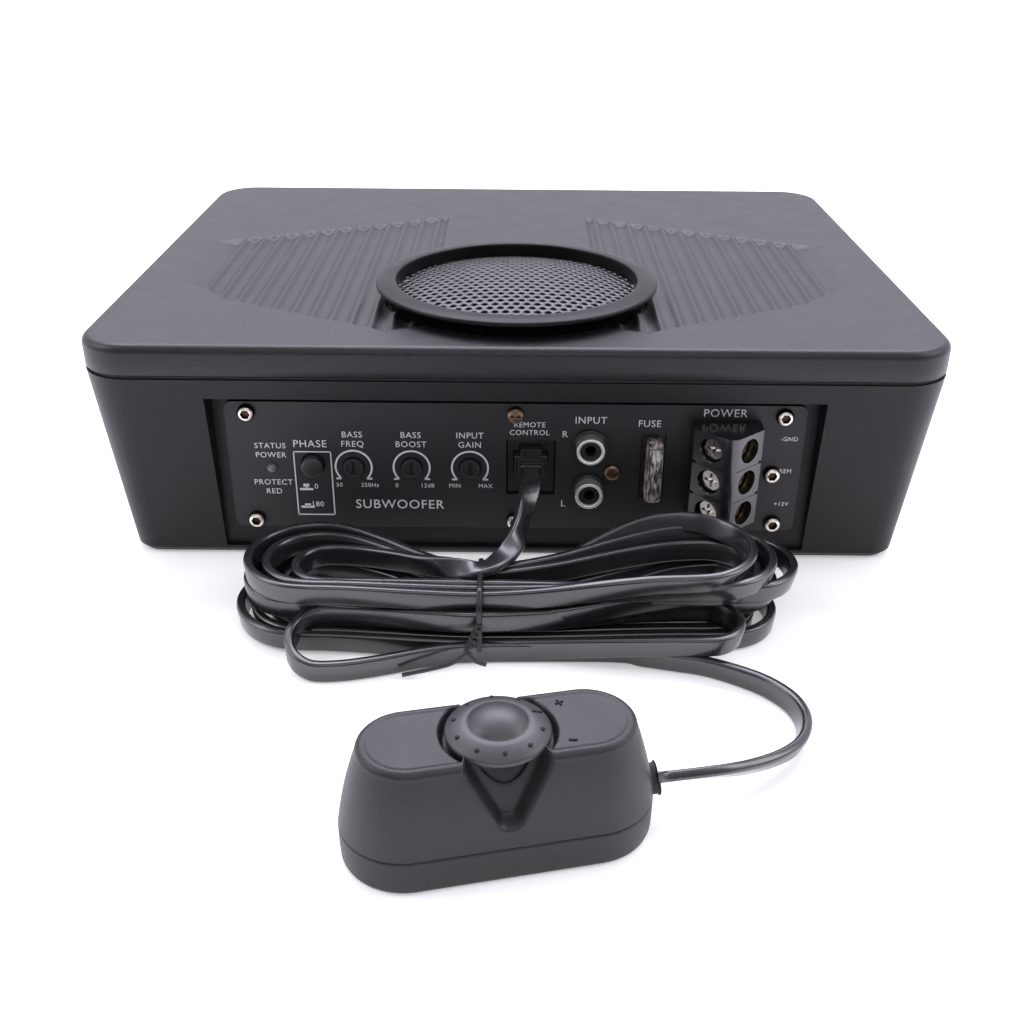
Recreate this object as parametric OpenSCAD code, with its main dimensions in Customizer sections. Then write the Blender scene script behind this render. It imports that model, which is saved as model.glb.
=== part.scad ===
// Powered under-seat car subwoofer with a wired level remote.
// Millimetres, +Z up. The origin is the centre of the base, and the control panel faces -Y.
// The housing holds one driver that fires up through the grille, and the amplifier under it.

/* [Housing] */
// Width of the housing at its top edge
body_w = 250; // [240:5:345]
// Depth of the housing at its top edge
body_d = 200; // [190:5:280]
// Height from the base to the top of the cover
body_h = 70; // [68:1:90]
// Height of the cover above the seam
cover_h = 9.5; // [8:0.5:14]
// Wall thickness of the case and the cover
wall = 3; // [2:0.25:4]
// Radius of the upright corners
corner_r = 15; // [8:1:25]
// How far each wall leans in from the seam to the base
taper = 7; // [4:0.5:8]
// Thickness of the gasket in the seam
seam_gap = 0.8; // [0.5:0.1:1.5]

/* [Control panel] */
// Width of the control panel
panel_w = 170; // [165:1:180]
// Height of the control panel
panel_h = 41; // [40:0.5:44]
// Height of the panel's centre above the base
panel_z = 30.4; // [30:0.2:33]
// Thickness of the control panel
panel_t = 1.6; // [1:0.1:2.5]
// Distance of the panel's face behind the top front edge
panel_setback = 7; // [6:0.5:9]
// Radius of the panel's corners
panel_r = 2.5; // [1:0.5:5]
// Clearance between the panel and the sides of its recess
recess_gap = 3.7; // [1:0.1:5]

/* [Grille and driver] */
// Distance of the driver's axis behind the top front edge
grille_setback = 52; // [50:1:60]
// Outer diameter of the grille ring
ring_d = 88; // [84:1:92]
// Inner diameter of the grille ring
ring_hole_d = 75.4; // [72:0.2:77]
// Height of the grille ring above the cover
ring_h = 5.5; // [4:0.5:8]
// Outer diameter of the driver's frame
driver_d = 94; // [92:1:98]
// Diameter of the magnet
magnet_d = 54; // [50:1:56]
// Travel of the cone each way
cone_travel = 3.5; // [2:0.25:3.5]

/* [Connectors and controls] */
// Outer diameter of an RCA shell
rca_d = 8.3; // [8:0.1:8.6]
// Distance that an RCA shell stands out of the panel
rca_out = 5; // [4:0.5:9]
// Height of one terminal of the power block
terminal_pitch = 10; // [9:0.25:10]
// Width of the power block
terminal_w = 20; // [18:0.5:21]
// Diameter of a wire entry and of a screw well in the power block
terminal_bore_d = 7.4; // [5:0.2:8]
// Length of the blade fuse along its row of blades
fuse_l = 19.1; // [18.6:0.1:19.4]
// Thickness of the blade fuse
fuse_t = 5.1; // [4.8:0.1:5.4]
// Diameter of a trimmer shaft
trimmer_d = 6; // [5:0.1:6.2]
// Diameter of the push button
button_d = 6.4; // [5:0.1:6.6]
// Travel of the push button
button_travel = 2.5; // [1:0.25:2.5]

/* [Remote] */
// Length of the remote at its base
remote_l = 68.4; // [64:0.4:80]
// Depth of the remote at its base
remote_d = 28.8; // [27:0.2:34]
// Height of the remote's two flat lobes
remote_h = 28.8; // [27:0.2:34]
// Height of the remote's parting line
remote_split = 9.2; // [8.6:0.2:10]
// Diameter of the remote knob's skirt
remote_knob_d = 22.4; // [20:0.2:22.6]

/* [Cord] */
// Width of the flat remote cord
cord_w = 6; // [5:0.5:6.5]
// Thickness of the flat remote cord
cord_t = 2.5; // [2:0.25:3]

/* [Hidden] */
$fn = 64;
slab = 0.01;
eps = 0.5;

// Housing
front_y = -body_d / 2;
seam_z = body_h - cover_h;
case_top = seam_z - seam_gap / 2;
cover_bottom = seam_z + seam_gap / 2;
base_round = 2;
edge_r = 2.5;
draft = 0.2;
skin_z = body_h - wall;
boss_inset = 21;
boss_in_y = 16;
boss_r = 4.5;
post_r = 4;
boss_top = 40;
screw_r = 1.5;
screw_hole_r = 1.7;
screw_head_r = 3;
screw_head_h = 2;
screw_well = 30;
screw_bite = 10;
foot_r = 7;
foot_h = 0.5;
foot_inset = 40;
bracket_x = 95;
bracket_y = 60;
bracket_hole_r = 1.75;
bracket_boss_r = 4.5;
bracket_depth = 9;

// Flutes in the top of the cover
flute_pitch = 6.2;
flute_r = 3.1;
flute_depth = 1.5;
flute_count = 14;
flute_start = 27;
flute_outline = [[26, 20], [38, 15], [90, 43], [104, 60], [107, 90], [107, 110], [26, 150]];

// Panel and what stands in it; heights are measured from the panel's centre
panel_y = front_y + panel_setback;
panel_back = panel_y + panel_t;
frame_t = 2.5;
frame_back = panel_back + frame_t;
frame_side = 3;
window_w = 148.6;
recess_w = panel_w + 2 * recess_gap;
recess_low = base_round + 1;
recess_high = panel_z + panel_h / 2 + recess_gap - 0.4;
panel_screw_in = 6.5;
panel_screw_high = 3.4;
panel_screw_low = 2.5;
screw_row_high = panel_h / 2 - panel_screw_high;
screw_row_low = panel_screw_low - panel_h / 2;
side_screw_in = 8.4;
side_screw_z = -1.4;
hex_head_r = 2.6;
hex_head_h = 1.9;
hex_socket = 3;
panel_screw_l = 7;
jack_screw_l = 5;
led_x = -72.5;
led_z = -0.6;
led_r = 1.5;
button_x = -60.2;
button_z = 0.6;
button_out = 3;
button_seat = 2;
button_stem = 7.5;
button_stem_r = 1.4;
button_clear = 0.5;
switch_face = button_seat + button_travel + button_clear;
switch_w = 8;
switch_back = 15;
trimmer_x = [-48.1, -30.8, -13.4];
trimmer_z = -0.3;
trimmer_out = 1;
trimmer_fit = 0.08;
panel_hole_gap = 0.35;
leg_w = 0.8;
leg_depth = 10;
jack_x = 4.7;
jack_z = -0.1;
jack_w = 14.6;
jack_h = 17.8;
jack_recess = 1;
plug_w = 9.7;
plug_h = 6.6;
plug_z = 1.6;
plug_fit = 0.15;
plug_out = 4.5;
plug_in = 8;
latch_w = 6.2;
latch_h = 2.2;
rca_x = 22.1;
rca_z = 0.2;
rca_pitch = 14.4;
rca_wall = 0.8;
rca_collar_r = 5.2;
rca_root = 3;
rca_step = 0.4;
rca_ear = 5;
rca_screw_x = 29;
rca_screw_z = -1.1;
fuse_x = 40.8;
fuse_z = 1;
fuse_out = 8.2;
fuse_clear = 0.3;
blade_w = 5.2;
blade_t = 0.65;
blade_pitch = 10.4;
blade_l = 7.5;
terminal_x = 61.6;
terminal_z = 0.8;
terminal_count = 3;
terminal_out = 6.4;
terminal_ridge = 14;
terminal_ridge_w = 2.4;
terminal_h = terminal_count * terminal_pitch;
terminal_step = 1;
window_low = terminal_z - terminal_h / 2 - 0.2;
window_high = terminal_z + terminal_h / 2 - terminal_step + 0.1;
face_angle = atan2(terminal_ridge - terminal_out, (terminal_w - terminal_ridge_w) / 2);

// Amplifier
board_z = 12;
board_t = 1.6;
board_w = 176;
board_front = frame_back + 3.5;
board_back = body_d / 2 - 40;
board_top = board_z + board_t;
standoff_r = 3.5;
sink_t = 4;
sink_l = 140;
sink_h = 34;
fin_count = 10;
fin_l = 14;
fin_t = 2;
capacitor_r = 8;
capacitor_h = 25;
toroid_r = 13;
toroid_hole_r = 7.5;
toroid_h = 8;
toroid_wire = 0.9;
toroid_fit = 0.08;
toroid_at = [28, board_back - 28, board_top + toroid_wire];

// Driver, hung from the cover
driver_y = front_y + grille_setback;
ring_r = ring_d / 2;
ring_hole_r = ring_hole_d / 2;
opening_r = ring_hole_r + 3.3;
gasket_t = 1;
flange_t = 2;
flange_top = skin_z - gasket_t;
driver_r = driver_d / 2;
lip_r = opening_r - 0.5;
cone_r = ring_hole_r - 6.5;
coil_r = 10.5;
coil_wall = 0.7;
pole_r = 9.9;
gap_r = 11.8;
plate_top = flange_top - 29.5;
plate_t = 4;
magnet_t = 8;
coil_clear = 1;
coil_bottom = plate_top - plate_t - magnet_t + cone_travel + coil_clear;
coil_top = plate_top + 6.5;
driver_screw_r = 1.4;
driver_screw_ring = driver_r - 3;
spider_z = plate_top + 4.2;
spider_r = 29;
spider_t = 0.6;
cone_t = 0.8;
cone_edge_z = flange_top - 0.4;
mesh_t = 0.8;
mesh_rise = 3.5;
mesh_edge = body_h + 1.2;

// Leads from the driver's tags, measured from the driver's axis
wire_route = [[37, 6, 44], [38, 11, 40], [38, 17, 32], [37, 23, 24], [36, 27, 18], [36, 28, 13.6]];
wire_r = 0.8;
wire_pitch = 2.4;

// Remote, standing on the floor in front of the housing
remote_at = [-3, front_y - 113.7, 0];
remote_turn = 12.6;
remote_top_l = remote_l - 8.7;
remote_top_d = remote_d - 7;
remote_wall = 2;
remote_round = 1.5;
knob_floor = remote_h - 5.6;
knob_gap = 1;
notch_depth = 3.2;
knob_dots = 9;
knob_shaft_r = 3;
knob_fit = 0.08;
remote_pot_h = 8;
remote_board_z = 6;
remote_post_r = 3.2;
grommet_z = 9.5;
grommet_l = 3;
grommet_out = 0.8;
grommet_x = remote_l / 2 + grommet_out;

// Cord routes, measured from the middle of the top front edge, with heights above the floor
cord_exit = [jack_x, panel_setback - plug_out, panel_z + plug_z];
lead_in_route = [[4.5, -5, 31], [4, -9, 29.5], [3, -13, 27.5], [2, -17, 25.5], [1, -21, 23.8], [0, -25, 22.4],
                 [-3, -30, 21]];
lead_out_route = [[26, -49, 3.2], [34, -51, 3.2], [42, -53, 3.2], [50, -55, 3.2], [58, -59, 3.2],
                  [65, -64, 3.2], [70, -71, 3.2], [71, -79, 3.4], [68, -87, 3.8], [62, -93, 4.6],
                  [54, -98, 6], [46, -102, 8]];
lead_in_twist = 45;
hank_h = 27;
hank_left = [-56, -28];
hank_left_r = 21;
hank_front = [-48.5, -45.5];
hank_front_r = 12;
hank_waist = [-9, -39.5];
hank_waist_r = 10.5;
hank_waist_h = 21.5;
hank_saddle = 26;
hank_right = [59, -29.5];
hank_right_r = 19.5;
tie_w = 1.8;

// ---------------------------------------------------------------- helpers

// A rectangle with round corners, made of plain shapes
module rounded_rect(w, d, r) {
    square([w - 2 * r, d], center = true);
    square([w, d - 2 * r], center = true);
    for (x = [-1, 1], y = [-1, 1])
        translate([x * (w / 2 - r), y * (d / 2 - r)]) circle(r);
}

// A rounded rectangle as a thin slab at height z, drawn in by `inset` on every side
module slab_at(z, w, d, r, inset) {
    translate([0, 0, z])
        linear_extrude(slab) rounded_rect(w - 2 * inset, d - 2 * inset, max(r - inset, 0.5), $fn = 32);
}

// A stadium, round at both ends
module stadium(l, d) {
    square([l - d, d], center = true);
    for (x = [-1, 1]) translate([x * (l - d) / 2, 0]) circle(d / 2);
}

// Places children on the panel: local X is X, local Y is up, local Z points out of the face
module on_panel(x, z) {
    translate([x, panel_y, panel_z + z]) rotate([90, 0, 0]) children();
}

module at_driver() {
    translate([0, driver_y, 0]) children();
}

module at_remote() {
    translate(remote_at) rotate(remote_turn) children();
}

// Points of an arc in a plane, from angle a0 to a1
function arc(cx, cy, r, a0, a1, n) =
    [for (i = [0 : n]) let (a = a0 + (a1 - a0) * i / n) [cx + r * cos(a), cy + r * sin(a)]];

function unit(v) = v / norm(v);

// Catmull-Rom point between p1 and p2
function spline(p0, p1, p2, p3, t) =
    0.5 * ((2 * p1) + (p2 - p0) * t + (2 * p0 - 5 * p1 + 4 * p2 - p3) * t * t
           + (3 * p1 - p0 - 3 * p2 + p3) * t * t * t);

function smooth(p, steps) =
    let (last = len(p) - 1)
    [for (i = [0 : last - 1], s = [0 : steps - 1])
         spline(p[max(i - 1, 0)], p[i], p[i + 1], p[min(i + 2, last)], s / steps), p[last]];

// Direction of a path at point i
function heading(p, i) = unit(p[min(i + 1, len(p) - 1)] - p[max(i - 1, 0)]);

// Eight-sided section of a flat cord that stands on its edge
function cord_section(w, t) =
    let (c = t * 0.3)
    [[t / 2, w / 2 - c], [t / 2 - c, w / 2], [c - t / 2, w / 2], [-t / 2, w / 2 - c],
     [-t / 2, c - w / 2], [c - t / 2, -w / 2], [t / 2 - c, -w / 2], [t / 2, c - w / 2]];

// Sweeps a section along a path. The section's second axis stays as upright as the path allows,
// and each ring is then turned about the path by its own angle.
module sweep(path, section, turns) {
    n = len(section);
    rings = [for (i = [0 : len(path) - 1])
                 let (h = heading(path, i),
                      side = unit(cross(h, [0, 0, 1])),
                      up = cross(side, h),
                      c = cos(turns[i]),
                      s = sin(turns[i]))
                 for (q = section) path[i] + side * (q[0] * c - q[1] * s) + up * (q[0] * s + q[1] * c)];
    walls = [for (i = [0 : len(path) - 2], k = [0 : n - 1])
                 let (a = i * n + k, b = i * n + (k + 1) % n)
                 for (t = [[a, b, b + n], [a, b + n, a + n]]) t];
    first = [for (k = [n - 1 : -1 : 0]) k];
    last = [for (k = [0 : n - 1]) (len(path) - 1) * n + k];
    polyhedron(rings, concat(walls, [first, last]), convexity = 4);
}

// No turn at any point of a path
function level(path) = [for (p = path) 0];

// ---------------------------------------------------------------- housing

module at_bosses() {
    for (x = [-1, 1], y = [-1, 1])
        translate([x * (body_w / 2 - boss_inset), y * (body_d / 2 - boss_in_y), 0]) children();
}

module at_standoffs() {
    for (x = [-1, 1], y = [board_front + 30, board_back - 8])
        translate([x * (board_w / 2 - 6), y, 0]) children();
}

module at_brackets() {
    for (x = [-1, 1], y = [-1, 1]) translate([x * bracket_x, y * bracket_y, 0]) children();
}

module at_feet() {
    for (x = [-1, 1], y = [-1, 1])
        translate([x * (body_w / 2 - foot_inset), y * (body_d / 2 - foot_inset + 14), 0]) children();
}

// The band of flutes on one side of the ring
module flutes() {
    intersection() {
        translate([0, front_y, body_h - flute_depth - eps])
            linear_extrude(flute_depth + 2 * eps) polygon(flute_outline);
        for (i = [0 : flute_count - 1])
            translate([flute_start + i * flute_pitch, front_y, body_h - flute_depth + flute_r])
                rotate([-90, 0, 0]) cylinder(r = flute_r, h = body_d);
    }
}

module top_cover() {
    color("#2b2b2e") {
        difference() {
            hull() {
                slab_at(cover_bottom, body_w, body_d, corner_r, draft);
                for (a = [0 : 22.5 : 90])
                    slab_at(body_h - edge_r + edge_r * sin(a) - slab, body_w, body_d, corner_r,
                            edge_r * (1 - cos(a)));
            }
            translate([0, 0, cover_bottom - eps])
                linear_extrude(skin_z - cover_bottom + eps)
                    rounded_rect(body_w - 2 * wall, body_d - 2 * wall, corner_r - wall);
            at_driver() cylinder(r = opening_r, h = body_h + eps);
            at_driver() driver_screw_holes(driver_screw_r, skin_z - eps, 2);
            flutes();
            mirror([1, 0, 0]) flutes();
        }
        at_bosses() difference() {
            translate([0, 0, boss_top]) cylinder(r = post_r, h = skin_z - boss_top);
            translate([0, 0, boss_top - eps]) cylinder(r = screw_r, h = screw_bite + 1 + eps);
        }
    }
}

module driver_screw_holes(r, z, h) {
    for (a = [45 : 90 : 315])
        rotate(a) translate([driver_screw_ring, 0, z]) cylinder(r = r, h = h);
}

module bottom_case() {
    color("#232326") {
        difference() {
            union() {
                difference() {
                    case_outer(0, 0);
                    case_outer(wall, wall);
                }
                intersection() {
                    case_outer(0, 0);
                    translate([-recess_w / 2 - frame_side, front_y - eps, base_round])
                        cube([recess_w + 2 * frame_side, frame_back - front_y + eps,
                              recess_high + frame_side - base_round]);
                }
            }
            translate([-recess_w / 2, front_y - eps, recess_low])
                cube([recess_w, panel_back - front_y + eps, recess_high - recess_low]);
            translate([-window_w / 2, front_y - eps, panel_z + window_low])
                cube([window_w, frame_back - front_y + 2 * eps, window_high - window_low]);
            at_bosses() translate([0, 0, -eps]) cylinder(r = screw_head_r + 0.3, h = screw_well + eps);
            at_brackets() translate([0, 0, -eps]) cylinder(r = bracket_hole_r, h = bracket_depth + eps);
            at_feet() translate([0, 0, -eps]) cylinder(r = foot_r, h = foot_h + eps);
            at_panel_screws() translate([0, 0, -panel_screw_l]) cylinder(r = screw_r, h = panel_screw_l);
            on_panel(0, screw_row_high) translate([0, 0, -jack_screw_l])
                cylinder(r = screw_r, h = jack_screw_l);
        }
        at_bosses() difference() {
            translate([0, 0, wall]) cylinder(r = boss_r, h = boss_top - wall);
            translate([0, 0, -eps]) cylinder(r = screw_head_r + 0.3, h = screw_well + eps);
            translate([0, 0, screw_well - eps]) cylinder(r = screw_hole_r, h = boss_top);
        }
        at_brackets() difference() {
            translate([0, 0, wall]) cylinder(r = bracket_boss_r, h = bracket_depth + 2 - wall);
            translate([0, 0, -eps]) cylinder(r = bracket_hole_r, h = bracket_depth + eps);
        }
        at_standoffs() difference() {
            translate([0, 0, wall]) cylinder(r = standoff_r, h = board_z - wall);
            translate([0, 0, wall + 2]) cylinder(r = screw_r, h = board_z);
        }
    }
}

// The case as a leaning box, drawn in by `inset` at the sides and `lift` at the floor
module case_outer(inset, lift) {
    hull() {
        slab_at(lift, body_w, body_d, corner_r, taper + inset + (lift > 0 ? 0 : base_round));
        slab_at(lift > 0 ? lift + slab : base_round, body_w, body_d, corner_r, taper + inset);
        slab_at(lift > 0 ? case_top + eps : case_top - slab, body_w, body_d, corner_r, inset);
    }
}

module case_gasket() {
    color("#151515") translate([0, 0, case_top]) linear_extrude(seam_gap) difference() {
        rounded_rect(body_w - 1.6, body_d - 1.6, corner_r - 0.8);
        rounded_rect(body_w - 2 * wall + 0.4, body_d - 2 * wall + 0.4, corner_r - wall + 0.2);
    }
}

module case_screws() {
    color("#8c8c90") at_bosses() {
        translate([0, 0, screw_well - screw_head_h]) difference() {
            cylinder(r = screw_head_r, h = screw_head_h);
            phillips(3.6, 1.2);
        }
        translate([0, 0, screw_well]) cylinder(r = screw_r, h = boss_top - screw_well + screw_bite);
    }
}

// A cross recess cut upward from z = 0
module phillips(w, depth) {
    translate([-w / 2, -0.4, -eps]) cube([w, 0.8, depth + eps]);
    translate([-0.4, -w / 2, -eps]) cube([0.8, w, depth + eps]);
}

module rubber_feet() {
    color("#111111") at_feet() cylinder(r = foot_r, h = foot_h);
}

// ---------------------------------------------------------------- grille and driver

module grille_ring() {
    color("#1d1d20") at_driver() rotate_extrude() polygon(concat(
        [[ring_hole_r, skin_z], [opening_r, skin_z], [opening_r, body_h], [ring_r, body_h]],
        arc(ring_r - 2, body_h + ring_h - 2, 2, 0, 90, 6),
        arc(ring_hole_r + 1.5, body_h + ring_h - 1.5, 1.5, 90, 180, 4)));
}

// Radius of the ball that the grille's sheet is part of
function dome_radius(r, rise) = (r * r + rise * rise) / (2 * rise);

module grille_mesh() {
    big = dome_radius(ring_hole_r, mesh_rise);
    half = asin(ring_hole_r / big);
    color("#3a3a3e") at_driver() translate([0, 0, mesh_edge]) rotate_extrude() polygon(concat(
        arc(0, mesh_rise - big, big, 90 - half, 90, 10),
        arc(0, mesh_rise - mesh_t - big, big, 90, 90 - half, 10)));
}

module driver_gasket() {
    color("#1a1a1a") at_driver() difference() {
        translate([0, 0, flange_top]) cylinder(r = driver_r, h = gasket_t);
        translate([0, 0, flange_top - eps]) cylinder(r = opening_r, h = gasket_t + 2 * eps);
        driver_screw_holes(driver_screw_r + 0.2, flange_top - eps, gasket_t + 2 * eps);
    }
}

module driver_basket() {
    wall_top = lip_r - 3.5;
    color("#2a2a2a") at_driver() difference() {
        rotate_extrude() polygon([
            [wall_top, flange_top], [driver_r, flange_top], [driver_r, flange_top - flange_t],
            [wall_top + 1.5, flange_top - flange_t], [spider_r + 2.5, spider_z - 1],
            [spider_r + 2.5, plate_top], [gap_r + 2, plate_top], [gap_r + 2, plate_top + 1.5],
            [spider_r - 2, plate_top + 1.5], [spider_r - 2, spider_z], [spider_r + 1, spider_z],
            [wall_top, flange_top - flange_t]]);
        for (a = [0 : 60 : 300])
            rotate(a) translate([spider_r - 1, -9, spider_z + 3])
                cube([driver_r, 18, flange_top - flange_t - spider_z - 6]);
        driver_screw_holes(driver_screw_r + 0.2, flange_top - flange_t - eps, flange_t + 2 * eps);
    }
}

module driver_screws() {
    head_z = flange_top - flange_t - 1.8;
    color("#9a9aa0") at_driver() for (a = [45 : 90 : 315]) rotate(a) translate([driver_screw_ring, 0, 0]) {
        translate([0, 0, head_z]) difference() {
            cylinder(r = 2.6, h = 1.8);
            translate([0, 0, 0]) phillips(3, 1);
        }
        translate([0, 0, head_z + 1.8])
            cylinder(r = driver_screw_r, h = flange_t + gasket_t + 1.5);
    }
}

module top_plate() {
    color("#8f9296") at_driver() translate([0, 0, plate_top - plate_t]) difference() {
        cylinder(d = magnet_d - 6, h = plate_t);
        translate([0, 0, -eps]) cylinder(r = gap_r, h = plate_t + 2 * eps);
    }
}

module magnet() {
    color("#3b3b3d") at_driver() translate([0, 0, plate_top - plate_t - magnet_t]) difference() {
        cylinder(d = magnet_d, h = magnet_t);
        translate([0, 0, -eps]) cylinder(r = gap_r + 1, h = magnet_t + 2 * eps);
    }
}

module back_plate() {
    back_z = plate_top - plate_t - magnet_t - plate_t;
    color("#8f9296") at_driver() {
        translate([0, 0, back_z]) cylinder(d = magnet_d - 6, h = plate_t);
        translate([0, 0, back_z + plate_t]) cylinder(r = pole_r, h = plate_top - back_z - plate_t);
    }
}

module voice_coil() {
    color("#b06a2c") at_driver() translate([0, 0, coil_bottom]) difference() {
        cylinder(r = coil_r + coil_wall, h = coil_top - coil_bottom);
        translate([0, 0, -eps]) cylinder(r = coil_r, h = coil_top - coil_bottom + 2 * eps);
    }
}

module cone() {
    inner = coil_r + coil_wall;
    color("#1b1b1c") at_driver() rotate_extrude() polygon([
        [inner, coil_top - 1.5], [cone_r - 2, cone_edge_z - cone_t], [cone_r, cone_edge_z - cone_t],
        [cone_r, cone_edge_z], [cone_r - 2.3, cone_edge_z], [inner, coil_top]]);
}

module dust_cap() {
    cap_r = coil_r + coil_wall + 3;
    seat_z = coil_top + 3 * (cone_edge_z - coil_top) / (cone_r - 2.3 - coil_r - coil_wall);
    rise = 4;
    big = dome_radius(cap_r, rise);
    half = asin(cap_r / big);
    color("#202022") at_driver() translate([0, 0, seat_z + cone_t + 0.05]) rotate_extrude() polygon(concat(
        arc(0, rise - big, big, 90 - half, 90, 6), arc(0, rise - cone_t - big, big, 90, 90 - half, 6)));
}

module surround() {
    mid = (cone_r + lip_r - 3.5) / 2;
    half = mid - cone_r;
    lip_z = flange_top;
    color("#0f0f10") at_driver() rotate_extrude() polygon(concat(
        [[cone_r - 2, cone_edge_z], [cone_r, cone_edge_z], [cone_r, lip_z]],
        arc(mid, lip_z, half - 0.6, 180, 0, 8),
        [[mid + half, lip_z], [lip_r, lip_z], [lip_r, lip_z + 0.6], [mid + half, lip_z + 0.6]],
        arc(mid, lip_z + 0.6, half, 0, 180, 8), [[cone_r - 2, lip_z + 0.6]]));
}

module spider() {
    color("#c49a4a") at_driver() translate([0, 0, spider_z]) difference() {
        cylinder(r = spider_r + 0.5, h = spider_t);
        translate([0, 0, -eps]) cylinder(r = coil_r + coil_wall, h = spider_t + 2 * eps);
    }
}

// Two leads from the driver's tags to the amplifier board
module speaker_wires() {
    round_section = [for (a = [0 : 60 : 300]) [cos(a), sin(a)] * wire_r];
    path = smooth(wire_route, 3);
    for (side = [0, 1]) color("#a02020") at_driver() translate([side * wire_pitch, 0, 0])
        sweep(path, round_section, level(path));
}

// ---------------------------------------------------------------- amplifier

module amp_board() {
    color("#1f5a34") difference() {
        translate([-board_w / 2, board_front, board_z]) cube([board_w, board_back - board_front, board_t]);
        at_standoffs() cylinder(r = screw_hole_r, h = board_top + eps);
        at_bosses() cylinder(r = boss_r + 1.5, h = board_top + eps);
    }
}

module board_screws() {
    color("#9a9aa0") at_standoffs() {
        translate([0, 0, board_top]) difference() {
            cylinder(r = 2.7, h = 1.8);
            translate([0, 0, 1.8]) mirror([0, 0, 1]) phillips(3, 1);
        }
        translate([0, 0, wall + 3]) cylinder(r = screw_r, h = board_top - wall - 3);
    }
}

module heat_sink() {
    color("#a9abad") {
        translate([-sink_l / 2, board_back + 4, board_z]) cube([sink_l, sink_t, sink_h]);
        for (i = [0 : fin_count - 1])
            translate([-sink_l / 2 + i * (sink_l - fin_t) / (fin_count - 1), board_back + 4 + sink_t, board_z])
                cube([fin_t, fin_l, sink_h]);
    }
}

module power_transistors() {
    color("#18181a") for (x = [-50, -20, 20, 50]) translate([x - 5, board_back - 0.6, board_top + 4]) {
        cube([10, 4.6, 15]);
        for (leg = [2, 5, 8]) translate([leg - 0.4, 0, -4]) cube([0.8, 0.6, 4.5]);
    }
}

module capacitors() {
    color("#20283a") for (x = [-62, -42, -22]) translate([x, board_back - 26, board_top])
        cylinder(r = capacitor_r, h = capacitor_h);
}

module toroid_core() {
    color("#c2b23a") translate(toroid_at) difference() {
        cylinder(r = toroid_r, h = toroid_h);
        translate([0, 0, -eps]) cylinder(r = toroid_hole_r, h = toroid_h + 2 * eps);
    }
}

module toroid_winding() {
    color("#b5652a") translate(toroid_at) for (a = [0 : 30 : 330]) rotate(a) difference() {
        translate([toroid_hole_r - toroid_wire, -0.6, -toroid_wire])
            cube([toroid_r - toroid_hole_r + 2 * toroid_wire, 1.2, toroid_h + 2 * toroid_wire]);
        translate([toroid_hole_r - toroid_fit, -1, -toroid_fit])
            cube([toroid_r - toroid_hole_r + 2 * toroid_fit, 2, toroid_h + 2 * toroid_fit]);
    }
}

// ---------------------------------------------------------------- control panel

module at_panel_screws() {
    side_x = panel_w / 2 - panel_screw_in;
    for (x = [-side_x, side_x], z = [screw_row_low, screw_row_high]) on_panel(x, z) children();
    on_panel(0, screw_row_low) children();
    on_panel(panel_w / 2 - side_screw_in, side_screw_z) children();
}

// Solder legs at the places `xs`, from `low` on a part that stands at panel height z to the board
module legs(xs, z, low) {
    drop = panel_z + z + low - board_top;
    for (x = xs) translate([x - leg_w / 2, low - drop, -leg_depth]) cube([leg_w, drop + slab, leg_w]);
}

// The two cross-head screws: one into the frame, one into the input sockets
module at_jack_screws() {
    on_panel(0, screw_row_high) children();
    on_panel(rca_screw_x, rca_screw_z) children();
}

module control_panel() {
    through = panel_t + 2 * eps;
    color("#1a1a1c") difference() {
        on_panel(0, 0) translate([0, 0, -panel_t])
            linear_extrude(panel_t) rounded_rect(panel_w, panel_h, panel_r);
        at_panel_screws() translate([0, 0, -panel_t - eps]) cylinder(r = screw_r, h = through);
        at_jack_screws() translate([0, 0, -panel_t - eps]) cylinder(r = screw_r, h = through);
        on_panel(led_x, led_z) translate([0, 0, -panel_t - eps]) cylinder(r = led_r, h = through);
        on_panel(button_x, button_z) translate([0, 0, -panel_t - eps])
            cylinder(d = button_d + 2 * panel_hole_gap, h = through);
        for (x = trimmer_x) on_panel(x, trimmer_z) translate([0, 0, -panel_t - eps])
            cylinder(d = trimmer_d + 2 * panel_hole_gap, h = through);
        on_panel(jack_x, jack_z) translate([-jack_w / 2, -jack_h / 2, -panel_t - eps])
            cube([jack_w, jack_h, through]);
        for (side = [-1, 1]) on_panel(rca_x, rca_z + side * rca_pitch / 2)
            translate([0, 0, -panel_t - eps]) cylinder(r = rca_collar_r, h = through);
        on_panel(fuse_x, fuse_z) translate([-fuse_t / 2 - 1, -fuse_l / 2 - 1, -panel_t - eps])
            cube([fuse_t + 2, fuse_l + 2, through]);
        on_panel(terminal_x, terminal_z) translate([-terminal_w / 2, -terminal_h / 2, -panel_t - eps])
            cube([terminal_w, terminal_h, through]);
    }
}

// Button-head screw with a hexagon socket, standing on z = 0
module hex_screw() {
    difference() {
        rotate_extrude() polygon(concat(
            [[0, 0], [hex_head_r, 0], [hex_head_r, 0.6]],
            arc(hex_head_r - 1.3, 0.6, 1.3, 0, 90, 5), [[0, hex_head_h]]));
        translate([0, 0, hex_head_h - 1.2]) cylinder(d = hex_socket, h = 2, $fn = 6);
    }
    translate([0, 0, -panel_screw_l]) cylinder(r = screw_r, h = panel_screw_l);
}

// Pan-head screw with a cross recess, standing on z = 0
module cross_screw(shank) {
    difference() {
        rotate_extrude() polygon(concat(
            [[0, 0], [hex_head_r, 0], [hex_head_r, 0.4]],
            arc(hex_head_r - 1.2, 0.4, 1.2, 0, 90, 5), [[0, 1.6]]));
        translate([0, 0, 1.6]) mirror([0, 0, 1]) phillips(3, 1);
    }
    translate([0, 0, -shank]) cylinder(r = screw_r, h = shank);
}

module panel_screws() {
    color("#d9d9dc") at_panel_screws() hex_screw();
}

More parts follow.
